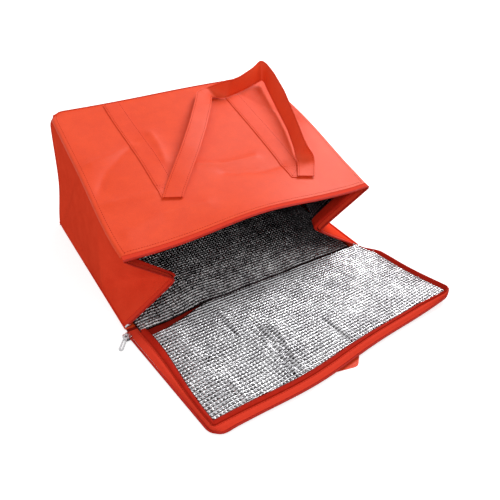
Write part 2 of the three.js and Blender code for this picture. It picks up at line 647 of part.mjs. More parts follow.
// The frame's origin is under the middle of the whole object, on the floor
const extent = new THREE.Box3().setFromObject(bag);
const middle = extent.getCenter(new THREE.Vector3());
bag.position.set(-middle.x, -middle.y, -extent.min.z);

export default bag;
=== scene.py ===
"""Insulated shopping bag: looks. Every place is worked out in the bag's own millimetres and then
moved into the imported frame, which is in metres."""
import math

import bmesh
import bpy
import numpy as np
from mathutils import Matrix, Vector


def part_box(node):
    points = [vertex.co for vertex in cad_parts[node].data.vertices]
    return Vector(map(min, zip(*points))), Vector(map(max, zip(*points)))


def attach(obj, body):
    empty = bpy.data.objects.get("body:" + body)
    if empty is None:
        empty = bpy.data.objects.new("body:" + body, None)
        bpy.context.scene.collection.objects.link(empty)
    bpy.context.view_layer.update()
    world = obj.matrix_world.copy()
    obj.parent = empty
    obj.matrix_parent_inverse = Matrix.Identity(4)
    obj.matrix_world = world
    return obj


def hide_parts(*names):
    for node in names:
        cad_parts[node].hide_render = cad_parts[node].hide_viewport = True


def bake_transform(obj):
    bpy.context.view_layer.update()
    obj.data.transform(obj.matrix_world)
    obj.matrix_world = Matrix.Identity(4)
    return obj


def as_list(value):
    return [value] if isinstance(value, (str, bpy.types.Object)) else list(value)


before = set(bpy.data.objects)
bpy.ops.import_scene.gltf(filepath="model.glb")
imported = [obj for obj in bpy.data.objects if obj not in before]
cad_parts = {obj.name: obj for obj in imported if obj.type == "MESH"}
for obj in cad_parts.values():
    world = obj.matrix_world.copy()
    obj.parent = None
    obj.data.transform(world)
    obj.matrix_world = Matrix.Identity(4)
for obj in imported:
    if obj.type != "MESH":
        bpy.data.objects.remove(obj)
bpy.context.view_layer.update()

# Sizes of the sewn bag, mm
WIDTH = 350.0
PANEL_LENGTH = 268.0
BASE_DEPTH = 170.0
MOUTH_DEPTH = 94.0
CLOTH = 0.8
FOAM = 2.2
BOARD = 2.0
GAP = 0.3
HEM_WIDTH = 14.0
TAPE_WIDTH = 5.0
TAPE_SEAM = 0.6
COIL_WIDTH = 2.7
COIL_THICK = 2.0
STRAP_WIDTH = 25.0
STRAP_THICK = 1.0
STRAP_SPACING = 176.0
ZIP_WIDTH = TAPE_SEAM + TAPE_WIDTH + GAP + COIL_WIDTH

# How it lies
BACK_CENTRE_X = -3.0
FRONT_CENTRE_X = 6.0
BASE_CORNER_PINCH = 7.0
EDGE_PLAY = 1.6
BACK_Z = STRAP_THICK + GAP
SEAM_Z = BACK_Z + BASE_DEPTH
SLOPE = math.asin((SEAM_Z - MOUTH_DEPTH - BACK_Z) / (PANEL_LENGTH + ZIP_WIDTH))
SIN, COS = math.sin(SLOPE), math.cos(SLOPE)
MOUTH_Y = PANEL_LENGTH * (1 - COS)
BASE_Y = PANEL_LENGTH + 2 * GAP + CLOTH
GUSSET_LOW_Z = BACK_Z + CLOTH + GAP
FRONT_NORMAL = np.array([0, -SIN, COS])

# Layers of a wall, as distances out of its outer face
LINING = (-CLOTH - GAP - FOAM, -CLOTH - GAP)
HEM = (LINING[0] - GAP - CLOTH, LINING[0] - GAP)
SEWN_STRAP = (GAP, GAP + STRAP_THICK)
TAPE = (-CLOTH * 1.5, -CLOTH * 0.5)
COIL = (-CLOTH - COIL_THICK / 2, -CLOTH + COIL_THICK / 2)

# The bag's own origin, found in the frame by the back panel's low corner
BACK_CORNER = np.array([BACK_CENTRE_X - WIDTH / 2, 0, BACK_Z])
SHIFT = np.array(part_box("back_panel")[0]) * 1000 - BACK_CORNER


def to_frame(points):
    """The bag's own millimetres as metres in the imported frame."""
    return (np.asarray(points, float) + SHIFT) / 1000


def smooth(low, high, value):
    share = np.clip((value - low) / (high - low), 0, 1)
    return share * share * (3 - 2 * share)


def mix(a, b, share):
    return a + (b - a) * share


def unit(vectors):
    length = np.linalg.norm(vectors, axis=-1, keepdims=True)
    return vectors / np.maximum(length, 1e-9)


def alike(*values):
    """These values as arrays of one shape."""
    return np.broadcast_arrays(*(np.asarray(value, float) for value in values))


def metres(*values):
    return tuple(value / 1000 for value in values)


# ---- Materials

def linear(hex_colour):
    """An sRGB hex colour as the linear values that the shader takes."""
    channels = []
    for place in (1, 3, 5):
        value = int(hex_colour[place:place + 2], 16) / 255
        channels.append(value / 12.92 if value <= 0.04045 else ((value + 0.055) / 1.055) ** 2.4)
    return (*channels, 1.0)


def feed(tree, node, inputs):
    """Links a node's inputs to the sockets given for them, and sets the others to their values."""
    for key, value in inputs.items() if isinstance(inputs, dict) else enumerate(inputs):
        if isinstance(value, bpy.types.NodeSocket):
            tree.links.new(value, node.inputs[key])
        else:
            node.inputs[key].default_value = value


def add_node(tree, kind, inputs=(), output=0, **settings):
    """Adds a node with its settings and links. A kind without "Node" in it is a shader node. It
    gives one of the node's outputs, or with None the node itself."""
    node = tree.nodes.new(kind if "Node" in kind else f"ShaderNode{kind}")
    for key, value in settings.items():
        setattr(node, key, value)
    feed(tree, node, inputs)
    return node if output is None else node.outputs[output]


def new_material(name):
    material = bpy.data.materials.new(name)
    material.use_nodes = True
    return material, material.node_tree, material.node_tree.nodes["Principled BSDF"]


def pit_share(tree, counts, low, high):
    """1 in the middle of each square pit and 0 between pits, from a place counted in pits. Low
    and high give the flat part of a pit and the whole of it, as shares of the pitch."""
    walls = []
    for away in counts:
        for operation, by in (("FRACT", 0.0), ("SUBTRACT", 0.5), ("ABSOLUTE", 0.0)):
            away = add_node(tree, "Math", (away, by), operation=operation)
        walls.append(add_node(
            tree, "MapRange", (away, low[len(walls)] / 2, high[len(walls)] / 2, 1.0, 0.0),
            interpolation_type="SMOOTHSTEP",
        ))
    return add_node(tree, "Math", walls, operation="MULTIPLY")


# The pitch of the cloth's bonded dots and of the tape's ribs as drawn, mm
BOND_PITCH = 1.6
RIB_PITCH = 1.5
# The pitch of the foil's pits across and along a wall, and their depth
PIT_ALONG = 4.5
PIT_BETWEEN = 4.7
PIT_DEPTH = 1.0


def nonwoven_cloth(name, colour, shade, shine=0.22):
    """Spunbond polypropylene: matt felted fibres, pressed together at a grid of tiny dots."""
    material, tree, shader = new_material(name)
    place = add_node(tree, "TexCoord", output="Object")
    flat = add_node(tree, "UVMap", uv_map="flat")
    turns = 2 * math.pi / (BOND_PITCH / 1000)
    waves = add_node(tree, "VectorMath", {0: flat, "Scale": turns}, operation="SCALE")
    waves = add_node(tree, "VectorMath", (waves,), operation="SINE")
    parts = add_node(tree, "SeparateXYZ", (waves,), None).outputs
    dots = add_node(tree, "Math", (parts[0], parts[1]), operation="MULTIPLY")
    clouds, fibres = (
        add_node(tree, "TexNoise", {"Vector": place, "Scale": a, "Detail": b, "Roughness": c})
        for a, b, c in ((55.0, 3.0, 0.6), (900.0, 2.0, 0.7))
    )
    share = add_node(tree, "MapRange", (clouds, 0.35, 0.68, 0.0, 1.0))
    mottled = {0: share, 6: linear(shade), 7: linear(colour)}
    mottled = add_node(tree, "Mix", mottled, 2, data_type="RGBA")
    speck = add_node(tree, "MapRange", (fibres, 0.3, 0.7, 0.93, 1.04))
    dots = add_node(tree, "Math", (dots, 0.5), operation="MULTIPLY")
    height = add_node(tree, "Math", (dots, fibres), operation="ADD")
    feed(tree, shader, {
        "Base Color": add_node(tree, "HueSaturation", {"Value": speck, "Color": mottled}),
        "Normal": add_node(tree, "Bump", {"Height": height, "Strength": 0.35, "Distance": 0.00025}),
        "Roughness": 0.47, "Specular IOR Level": shine, "Sheen Weight": shine / 4,
        "Sheen Roughness": 0.5, "Sheen Tint": linear("#ff8a66"),
    })
    return material


def woven_tape(name, colour, shade):
    """Knitted polyester zip tape. Its ribs are 0.5 mm apart and drawn three times as coarse."""
    material, tree, shader = new_material(name)
    flat = add_node(tree, "UVMap", uv_map="flat")
    parts = add_node(tree, "SeparateXYZ", (flat,), None).outputs
    ribs = []
    for k, closeness in ((0, 1.0), (1, 0.8)):
        turns = 2 * math.pi / (RIB_PITCH / 1000) * closeness
        turns = add_node(tree, "Math", (parts[k], turns), operation="MULTIPLY")
        ribs.append(add_node(tree, "Math", (turns,), operation="SINE"))
    weave = add_node(tree, "Math", ribs, operation="MULTIPLY")
    share = add_node(tree, "MapRange", (weave, -1.0, 1.0, 0.0, 1.0))
    tint = {0: share, 6: linear(shade), 7: linear(colour)}
    feed(tree, shader, {
        "Base Color": add_node(tree, "Mix", tint, 2, data_type="RGBA"),
        "Normal": add_node(tree, "Bump", {"Height": weave, "Strength": 0.4, "Distance": 0.0003}),
        "Roughness": 0.8, "Specular IOR Level": 0.16,
    })
    return material


def foil_film(name, dim, bright, wrinkled=1.1):
    """Aluminised film heat pressed on foam: bright bars round a grid of pressed pits, whose colour
    is painted near black as a dark reflection.
    """
    material, tree, shader = new_material(name)
    place = add_node(tree, "TexCoord", output="Object")
    flat = add_node(tree, "UVMap", uv_map="flat")
    parts = add_node(tree, "SeparateXYZ", (flat,), None).outputs
    counts = [
        add_node(tree, "Math", (parts[k], 1000 / pitch), operation="MULTIPLY")
        for k, pitch in enumerate((PIT_ALONG, PIT_BETWEEN))
    ]
    pit = pit_share(tree, counts, (0.3, 0.3), (0.64, 0.64))
    cells = [add_node(tree, "Math", (count,), operation="FLOOR") for count in counts]
    cell = add_node(tree, "CombineXYZ", cells)
    chance = add_node(tree, "TexWhiteNoise", {"Vector": cell}, "Value")
    patches = add_node(tree, "TexNoise", {"Vector": place, "Scale": 42.0, "Detail": 2.0})
    chance = add_node(tree, "Math", (chance, 0.6), operation="MULTIPLY")
    uneven = add_node(tree, "Math", (chance, patches), operation="ADD")
    depth = add_node(tree, "MapRange", (uneven, 0.35, 1.1, 1.0, 0.35))
    pit_painted_dark = add_node(tree, "Math", (pit, depth), operation="MULTIPLY")
    bars = {0: patches, 6: linear(dim), 7: linear(bright)}
    bars = add_node(tree, "Mix", bars, 2, data_type="RGBA")
    # Painted reflection: the pits are coloured near black, more in some cells and patches than
    # others, for the dark that they mirror
    tint = {0: pit_painted_dark, 6: bars, 7: linear("#170c0e")}
    tint = add_node(tree, "Mix", tint, 2, data_type="RGBA")
    # Painted shade: where the pressed mask is 0, along a pad's rim and next to the lid's hinge, the
    # colour goes dark for the shadowed gaps at its edges
    whole = add_node(tree, "Attribute", output="Fac", attribute_name="pressed")
    tint = {0: whole, 6: linear("#241416"), 7: tint}
    crumple = {"Vector": place, "Scale": 330.0, "Detail": 2.0, "Roughness": 0.55}
    crumple = add_node(tree, "TexNoise", crumple)
    height = add_node(tree, "Math", (crumple, wrinkled), operation="MULTIPLY")
    height = add_node(tree, "Math", (height, pit), operation="SUBTRACT")
    # A low ridge runs between the rows of pits
    ridge = add_node(tree, "Math", (counts[1], 2 * math.pi), operation="MULTIPLY")
    ridge = add_node(tree, "Math", (ridge,), operation="COSINE")
    ridge = add_node(tree, "Math", (ridge, 0.35), operation="MULTIPLY")
    height = add_node(tree, "Math", (height, ridge), operation="ADD")
    feed(tree, shader, {
        "Base Color": add_node(tree, "Mix", tint, 2, data_type="RGBA"),
        "Normal": add_node(tree, "Bump", {"Height": height, "Strength": 0.8, "Distance": 0.0011}),
        "Roughness": add_node(tree, "MapRange", (crumple, 0.3, 0.7, 0.14, 0.27)),
        "Metallic": 0.97,
    })
    return material


def nylon_thread(name, colour, dull, shine):
    """Nylon filament, smooth where it is one thick strand and duller where it is spun."""
    material, tree, shader = new_material(name)
    place = add_node(tree, "TexCoord", output="Object")
    grain = add_node(tree, "TexNoise", {"Vector": place, "Scale": 400.0})
    value = add_node(tree, "MapRange", (grain, 0.3, 0.7, 0.9, 1.1))
    tint = add_node(tree, "HueSaturation", {"Value": value, "Color": linear(colour)})
    feed(tree, shader, {"Base Color": tint, "Roughness": dull, "Specular IOR Level": shine})
    return material


def plated_metal(name):
    """Nickel plated die-cast zinc: bright, slightly tumbled, with fine rubbed marks."""
    material, tree, shader = new_material(name)
    place = add_node(tree, "TexCoord", output="Object")
    rubbed = add_node(tree, "TexNoise", {"Vector": place, "Scale": 700.0, "Detail": 4.0})
    rough = add_node(tree, "MapRange", (rubbed, 0.3, 0.7, 0.16, 0.32))
    feed(tree, shader, {"Base Color": linear("#c9c9cb"), "Roughness": rough, "Metallic": 1.0})
    return material


def grey_board(name):
    """Recycled fibre board: matt, with pressed fibres and grey flecks."""
    material, tree, shader = new_material(name)
    place = add_node(tree, "TexCoord", output="Object")
    flecks = {"Vector": place, "Scale": 500.0, "Detail": 5.0, "Roughness": 0.7}
    tint = {0: add_node(tree, "TexNoise", flecks), 6: linear("#6f6960"), 7: linear("#a39c90")}
    tint = add_node(tree, "Mix", tint, 2, data_type="RGBA")
    feed(tree, shader, {"Base Color": tint, "Roughness": 0.85})
    return material


CLOTH_RED = nonwoven_cloth("spunbond_polypropylene_red", "#e54922", "#df4420")
# The gussets' cloth is the walls' cloth in a copy with no gloss or sheen and a slightly different
# red: painted shade that keeps the gussets dark and saturated
GUSSET_SHADED_RED = nonwoven_cloth("spunbond_polypropylene_gusset_painted_shade", "#e2442a", "#dc3f26", 0.0)
STRAP_RED = nonwoven_cloth("spunbond_polypropylene_strap", "#e54822", "#df4320")
# The hinge cloth is the same red cloth, painted dark red as shade for the strip down in the crease
HINGE_SHADED_RED = nonwoven_cloth("spunbond_polypropylene_hinge_painted_shade", "#861d15", "#781810", 0.0)
HEM_RED = nonwoven_cloth("spunbond_polypropylene_hem", "#b52516", "#a62013", 0.02)
TAPE_RED = woven_tape("knitted_polyester_tape_red", "#e03e25", "#cb311d")
COIL_RED = nylon_thread("nylon_coil_red", "#b02417", 0.5, 0.15)
THREAD_RED = nylon_thread("polyester_thread_red", "#ac2619", 0.85, 0.0)
FOIL = foil_film("aluminised_film_on_foam", "#9c9a9e", "#ececee")
# The same film with darker, redder colours: painted shade and painted red reflection for the walls
# high up inside the bag
SHADED_FOIL = foil_film("aluminised_film_on_foam_painted_shade", "#4a383e", "#8c7f84")
# And where the shopping has wrinkled it, on the wall that the bag lies on
WRINKLED_FOIL = foil_film("wrinkled_aluminised_film_on_foam", "#7a747a", "#ffffff", 2.6)
METAL = plated_metal("nickel_plated_zinc")
GREY_BOARD = grey_board("recycled_fibre_board")


# ---- Meshes

# Edges sharper than this are drawn sharp, in degrees
SHARP_ANGLE = 50.0
METAL_SHARP_ANGLE = 40


def new_object(name, data):
    piece = bpy.data.objects.new(name, data)
    bpy.context.scene.collection.objects.link(piece)
    return piece


def finish_mesh(name, mesh, material, sharp_angle):
    mesh.materials.clear()
    mesh.materials.append(material)
    mesh.shade_smooth()
    if sharp_angle:
        mesh.set_sharp_from_angle(angle=math.radians(sharp_angle))
    return new_object(name, mesh)


def measured(grid):
    """Flat places of a grid's points in metres, measured along its own rows and middle column."""
    across = np.zeros(grid.shape[:2])
    across[:, 1:] = np.cumsum(np.linalg.norm(np.diff(grid, axis=1), axis=-1), axis=1)
    middle = grid.shape[1] // 2
    across -= across[:, middle:middle + 1]
    along = np.zeros(grid.shape[0])
    along[1:] = np.cumsum(np.linalg.norm(np.diff(grid[:, middle], axis=0), axis=-1))
    return np.stack([across, np.broadcast_to(along[:, None], across.shape)], -1) / 1000


def slab(name, outer, inner, material, flat=None, mask=None):
    """A closed sheet between two grids of points in mm. The inner grid may be coarser. A mask
    says where pits are pressed into its outer face, which is then smooth all over."""
    rows, columns = outer.shape[:2]
    rows_in, columns_in = inner.shape[:2]
    step_r = (rows - 1) // (rows_in - 1)
    step_c = (columns - 1) // (columns_in - 1)
    if flat is None:
        flat = measured(outer)
    count = rows * columns
    points = np.concatenate([outer.reshape(-1, 3), inner.reshape(-1, 3)])
    places = np.concatenate([flat.reshape(-1, 2), flat[::step_r, ::step_c].reshape(-1, 2)])
    top = np.arange(count).reshape(rows, columns)
    low = count + np.arange(rows_in * columns_in).reshape(rows_in, columns_in)
    faces = np.stack([top[:-1, :-1], top[:-1, 1:], top[1:, 1:], top[1:, :-1]], -1)
    backs = np.stack([low[:-1, :-1], low[1:, :-1], low[1:, 1:], low[:-1, 1:]], -1)
    polygons = [list(f) for f in faces.reshape(-1, 4)] + [list(f) for f in backs.reshape(-1, 4)]
    rims = (
        (top[0, ::-1], low[0, ::-1], step_c), (top[:, 0], low[:, 0], step_r),
        (top[-1, :], low[-1, :], step_c), (top[::-1, -1], low[::-1, -1], step_r),
    )
    for fine, coarse, step in rims:
        for k in range(len(coarse) - 1):
            run = fine[k * step:(k + 1) * step + 1]
            polygons.append([*run, coarse[k + 1], coarse[k]])
    centre = outer[:-1:step_r, :-1:step_c][:rows_in - 1, :columns_in - 1]
    down = outer[step_r::step_r, :-1:step_c][:rows_in - 1, :columns_in - 1] - centre
    side = outer[:-1:step_r, step_c::step_c][:rows_in - 1, :columns_in - 1] - centre
    away = centre - inner[:-1, :-1]
    if np.sum(np.cross(side, down) * away) < 0:
        polygons = [p[::-1] for p in polygons]
    mesh = bpy.data.meshes.new(name)
    mesh.from_pydata(to_frame(points).tolist(), [], polygons)
    layer = mesh.uv_layers.new(name="flat")
    corner = np.zeros(len(mesh.loops), np.int32)
    mesh.loops.foreach_get("vertex_index", corner)
    layer.data.foreach_set("uv", places[corner].astype(np.float32).ravel())
    if mask is not None:
        both = np.concatenate([mask.ravel(), np.zeros(rows_in * columns_in)])
        pressed = mesh.attributes.new("pressed", "FLOAT", "POINT")
        pressed.data.foreach_set("value", both.astype(np.float32))
        spot = mesh.attributes.new("cell_place", "FLOAT_VECTOR", "POINT")
        full = np.concatenate([places, np.zeros((len(places), 1))], axis=1)
        spot.data.foreach_set("vector", full.astype(np.float32).ravel())
    return finish_mesh(name, mesh, material, SHARP_ANGLE if mask is None else 0)


# ---- Geometry Nodes

def new_tree(name, sockets):
    """A tree with these named inputs, and what its geometry input and the other inputs give."""
    tree = bpy.data.node_groups.new(name, "GeometryNodeTree")
    tree.interface.new_socket("Geometry", in_out="INPUT", socket_type="NodeSocketGeometry")
    for socket, kind in sockets.items():
        tree.interface.new_socket(socket, in_out="INPUT", socket_type=f"NodeSocket{kind}")
    tree.interface.new_socket("Geometry", in_out="OUTPUT", socket_type="NodeSocketGeometry")
    return tree, tree.nodes.new("NodeGroupInput").outputs


def end_tree(tree, shape, finish):
    """Makes what the tree has built real, and gives it its material."""
    shape = add_node(tree, "GeometryNodeSetMaterial", {0: shape, "Material": finish})
    tree.links.new(shape, tree.nodes.new("NodeGroupOutput").inputs[0])
    return tree


def path_tree():
    """Small rounded items set along a path, each lying along it and facing out of the surface."""
    tree, given = new_tree("items_along_a_path", {
        "Spacing": "Float", "Item Size": "Vector", "Segments": "Int", "Rings": "Int",
        "Seed": "Int", "Finish": "Material",
    })
    curve = add_node(tree, "GeometryNodeMeshToCurve", {"Mesh": given["Geometry"]})
    points = {"Curve": curve, "Length": given["Spacing"]}
    points = add_node(tree, "GeometryNodeResampleCurve", points, mode="LENGTH")
    ahead = add_node(tree, "GeometryNodeInputTangent")
    face_out = {"Name": "face_out"}
    face_out = add_node(tree, "GeometryNodeInputNamedAttribute", face_out, data_type="FLOAT_VECTOR")
    turned = {"Vector": ahead}
    turned = add_node(tree, "FunctionNodeAlignRotationToVector", turned, axis="X")
    turned = {"Rotation": turned, "Vector": face_out}
    turned = add_node(tree, "FunctionNodeAlignRotationToVector", turned, axis="Z", pivot_axis="X")
    item = {"Segments": given["Segments"], "Rings": given["Rings"], "Radius": 0.5}
    item = add_node(tree, "GeometryNodeMeshUVSphere", item)
    uneven = {2: 0.92, 3: 1.06, "Seed": given["Seed"]}
    uneven = add_node(tree, "FunctionNodeRandomValue", uneven, 1, data_type="FLOAT")
    size = {0: given["Item Size"], "Scale": uneven}
    size = add_node(tree, "VectorMath", size, operation="SCALE")
    placed = {"Points": points, "Instance": item, "Rotation": turned, "Scale": size}
    placed = add_node(tree, "GeometryNodeInstanceOnPoints", placed)
    real = add_node(tree, "GeometryNodeRealizeInstances", (placed,))
    soft = add_node(tree, "GeometryNodeSetShadeSmooth", (real,))
    return end_tree(tree, soft, given["Finish"])


def pressed_pits_tree():
    """Presses a grid of square pits into a sheet, by the sheet's own flat place."""
    tree, given = new_tree("pressed_pits", {
        "Pitch Along": "Float", "Pitch Between": "Float", "Depth": "Float", "Finish": "Material",
    })
    place, pressed = (
        add_node(tree, "GeometryNodeInputNamedAttribute", {"Name": name}, data_type=kind)
        for name, kind in (("cell_place", "FLOAT_VECTOR"), ("pressed", "FLOAT"))
    )
    parts = add_node(tree, "SeparateXYZ", (place,), None).outputs
    counts = [
        add_node(tree, "Math", (parts[k], given[pitch]), operation="DIVIDE")
        for k, pitch in enumerate(("Pitch Along", "Pitch Between"))
    ]
    inward = pit_share(tree, counts, (0.45, 0.35), (0.85, 0.75))
    for by in (pressed, given["Depth"], -1.0):
        inward = add_node(tree, "Math", (inward, by), operation="MULTIPLY")
    offset = {0: add_node(tree, "GeometryNodeInputNormal"), "Scale": inward}
    offset = add_node(tree, "VectorMath", offset, operation="SCALE")
    moved = {"Geometry": given["Geometry"], "Offset": offset}
    moved = add_node(tree, "GeometryNodeSetPosition", moved)
    real = add_node(tree, "GeometryNodeRealizeInstances", (moved,))
    return end_tree(tree, real, given["Finish"])


def worked_mesh(piece):
    """A piece's mesh with its modifiers run."""
    graph = bpy.context.evaluated_depsgraph_get()
    return bpy.data.meshes.new_from_object(piece.evaluated_get(graph))


def run_tree(piece, tree, values):
    """Runs a tree on a piece with these named inputs, and keeps the result as a plain mesh."""
    modifier = piece.modifiers.new("work", "NODES")
    modifier.node_group = tree
    for item in tree.interface.items_tree:
        if item.in_out == "INPUT" and item.name in values:
            modifier[item.identifier] = values[item.name]
    bpy.context.view_layer.update()
    made = worked_mesh(piece)
    made.name = piece.name
    piece.modifiers.clear()
    piece.data = made
    return piece


PATH_TREE = path_tree()
PITS_TREE = pressed_pits_tree()


def press_pits(piece, depth_mm=PIT_DEPTH):
    return run_tree(piece, PITS_TREE, {
        "Pitch Along": PIT_ALONG / 1000, "Pitch Between": PIT_BETWEEN / 1000,
        "Depth": depth_mm / 1000, "Finish": piece.data.materials[0],
    })


def along_paths(name, lines, spacing, size, segments, rings, material):
    """One mesh of small items along several lines, each given as places and outward directions."""
    points = np.concatenate([line for line, _ in lines])
    outward = np.concatenate([out for _, out in lines])
    edges, start = [], 0
    for line, _ in lines:
        edges += [(start + k, start + k + 1) for k in range(len(line) - 1)]
        start += len(line)
    mesh = bpy.data.meshes.new(name)
    mesh.from_pydata(to_frame(points).tolist(), edges, [])
    layer = mesh.attributes.new("face_out", "FLOAT_VECTOR", "POINT")
    layer.data.foreach_set("vector", outward.astype(np.float32).ravel())
    mesh.materials.append(material)
    return run_tree(new_object(name, mesh), PATH_TREE, {
        "Spacing": spacing / 1000, "Item Size": metres(*size),
        "Segments": segments, "Rings": rings, "Seed": 7, "Finish": material,
    })


# ---- How the cloth lies

# How far a fold's top is rounded
CREASE_ROUND = 0.9


def near_line(x, y, line):
    """Distance of each place to a bent line on a wall."""
    best = np.full(np.broadcast(x, y).shape, 1e9)
    for (ax, ay), (bx, by) in zip(line[:-1], line[1:]):
        dx, dy = bx - ax, by - ay
        t = np.clip(((x - ax) * dx + (y - ay) * dy) / (dx * dx + dy * dy), 0, 1)
        best = np.minimum(best, np.hypot(x - ax - t * dx, y - ay - t * dy))
    return best


def crease(x, y, line, height, reach):
    """A fold that stands up from, or with a negative height sinks into, the cloth."""
    away = np.hypot(near_line(x, y, line), CREASE_ROUND) - CREASE_ROUND
    return height * np.exp(-away / reach)


def wave(a, reach_a, start_a, b, reach_b, start_b):
    """A slow wave over two directions, between -1 and 1."""
    return np.sin(a / reach_a + start_a) * np.sin(b / reach_b + start_b)


# Heights of the slow waves: sideways, along the base's depth, upwards, and on two of the walls
SIDE_WAVE, BASE_WAVE, TOP_WAVE, FRONT_WAVE, GUSSET_WAVE = 1.4, 0.9, 1.1, 1.3, 1.8
# How far the base's left edge is drawn in by the fold of its gusset
BASE_SLACK = 4.0
# The bow of the mouth's front edge: height, middle, reach across and down, and where it starts
BOW, BOW_X, BOW_ACROSS, BOW_DOWN, BOW_START = 11.7, -2.0, 84.0, 42.0, -12.0

SETTLED_CORNERS = (
    # corner, the way it is pushed in, how far, reach
    ((-162, 268, 171), (0.75, -0.45, -0.5), 5.5, 9.0),
    ((174, 268, 171), (-0.75, -0.45, -0.5), 6.0, 15.0),
    ((-169, 10, 98), (0.6, 0.5, -0.3), 2.5, 12.0),
    ((181, 10, 98), (-0.6, 0.5, -0.3), 0.5, 14.0),
    ((-178, 268, 2), (0.8, -0.6, 0.0), 0.6, 12.0),
    ((172, 268, 2), (-0.8, -0.6, 0.0), 4.0, 12.0),
)


def settle(points):
    """Slow waves and worn corners, shared by every layer of the bag so that its seams stay shut."""
    x, y, z = points[..., 0], points[..., 1], points[..., 2]
    lifted = smooth(12, 80, z)
    on_base = smooth(190, PANEL_LENGTH, y) * smooth(2, 40, z) * smooth(173, 150, z)
    moved = np.stack([
        SIDE_WAVE * wave(y, 39, 0.7, z, 31, 0.4) * lifted * smooth(8, 60, y),
        BASE_WAVE * (1 + wave(x, 45, 1.2, z, 37, 0.5)) * on_base,
        TOP_WAVE * wave(x, 49, 0.3, y, 43, 1.1) * lifted,
    ], -1)
    slack = np.sin(np.pi * np.clip((z - 2) / 169, 0, 1)) * smooth(170, PANEL_LENGTH, y)
    moved[..., 0] += BASE_SLACK * slack * smooth(-110, -172, x)
    for corner, way, depth, reach in SETTLED_CORNERS:
        away = np.linalg.norm(points - np.array(corner, float), axis=-1)
        moved = moved + depth * np.exp(-((away / reach) ** 2))[..., None] * np.array(way)
    return points + moved


FRONT_CREASES = (
    # height, reach, line as (x, distance from the mouth)
    (2.8, 9, ((-184, 78), (-165, 81), (-129, 78), (-92, 77))),
    (2.4, 8, ((-167, 148), (-137, 157), (-86, 172))),
    (-2.6, 8, ((-157, 103), (-136, 133), (-82, 175))),
    (2.2, 6, ((-23, 110), (9, 99), (34, 98), (62, 98))),
    (-1.9, 6, ((6, 84), (54, 70), (90, 70))),
    (2.4, 8, ((-54, 187), (-54, 161), (-59, 131))),
    (-1.8, 10, ((110, 240), (140, 190), (165, 150))),
    (1.8, 10, ((-150, 30), (-100, 44), (-40, 40))),
)


def front_half(row):
    return WIDTH / 2 - BASE_CORNER_PINCH * np.maximum(0, row / PANEL_LENGTH) ** 2


def front_relief(x, row):
    """How far the front wall stands out of its plane: its creases, and the bow of its mouth."""
    sides = smooth(0, 22, front_half(row) - np.abs(x - FRONT_CENTRE_X))
    inside = sides * smooth(0, 20, PANEL_LENGTH - row)
    height = sum(crease(x, row, line, h, reach) for h, reach, line in FRONT_CREASES)
    height = height + FRONT_WAVE * wave(x, 37, 0.9, row, 34, 2.0)
    bow = BOW * np.exp(-(((x - BOW_X) / BOW_ACROSS) ** 2))
    bow = bow * np.exp((BOW_START - np.maximum(row, BOW_START)) / BOW_DOWN)
    return height * inside + bow * smooth(0, 60, front_half(0) - np.abs(x - FRONT_CENTRE_X))


def front_wall(x, row, out):
    """A place on the front wall: across, distance from the mouth, and how far out of the cloth."""
    x, row, out = alike(x, row, out)
    out = out + front_relief(x, row)
    down = PANEL_LENGTH - row
    return settle(np.stack([
        x, PANEL_LENGTH - down * COS - out * SIN, SEAM_Z - down * SIN + out * COS,
    ], -1))


def back_wall(x, row, out):
    x, row, out = alike(x, row, out)
    return settle(np.stack([x, row, BACK_Z - out], -1))


def base_wall(x, height, out):
    x, height, out = alike(x, height, out)
    return settle(np.stack([x, BASE_Y + out, height], -1))


def front_z(y, out):
    return SEAM_Z - (PANEL_LENGTH - y) * SIN / COS + out / COS


def front_row(y):
    return PANEL_LENGTH - (PANEL_LENGTH - y) / COS


def back_edge(side):
    return BACK_CENTRE_X + side * WIDTH / 2


def front_edge(side, row):
    return FRONT_CENTRE_X + side * front_half(row)


def base_edge(side, height):
    share = (height - BACK_Z) / BASE_DEPTH
    return mix(back_edge(side), front_edge(side, PANEL_LENGTH), share)


GUSSET_CREASES = (
    # height, reach, line as y and z
    (2.2, 8, ((291, -14), (97, 111))), (-2.0, 7, ((244, 17), (111, 114))),
    (-3.6, 8, ((270, 0), (212, 72), (155, 138))), (2.6, 12, ((262, -8), (204, 60), (148, 124))),
)

# A gusset's fold: depth at the mouth, where it runs out, and its height there as a share
FOLDS = {-1: (65.0, 78.0, 0.12), 1: (75.0, 208.0, 0.5)}
FOLD_START_SHARE = 0.5
FOLD_ROUND = 0.07
SIDE_NAMES = {-1: "left", 1: "right"}


def gusset_corners(side, y, inward):
    """The section of a gusset at y, moved into the bag: its low edge, fold and high edge."""
    depth, end, end_share = FOLDS[side]
    inside = np.maximum(y, MOUTH_Y)
    low_x = np.full_like(inside, back_edge(side))
    high_x = front_edge(side, front_row(inside))
    low_z = np.full_like(inside, GUSSET_LOW_Z)
    high_z = front_z(y, np.where(y < MOUTH_Y - 1e-6, COIL[0], -CLOTH)) - GAP
    folded = np.clip((end - inside) / (end - MOUTH_Y), 0, 1)
    share = mix(end_share, FOLD_START_SHARE, folded)
    fold_x = mix(low_x, high_x, share) - side * depth * folded
    fold_z = mix(low_z, high_z, share)
    slope_low = (fold_x - low_x) / (fold_z - low_z)
    slope_high = (high_x - fold_x) / (high_z - fold_z)
    shift_low = -side * inward * np.hypot(slope_low, 1)
    shift_high = -side * inward * np.hypot(slope_high, 1)
    turn = slope_low - slope_high
    flat = np.abs(turn) < 1e-5
    meet = fold_z + np.where(flat, 0, (shift_high - shift_low) / np.where(flat, 1, turn))
    return (
        (low_x + shift_low, low_z),
        (low_x + (meet - low_z) * slope_low + shift_low, meet),
        (high_x + shift_high, high_z),
    )


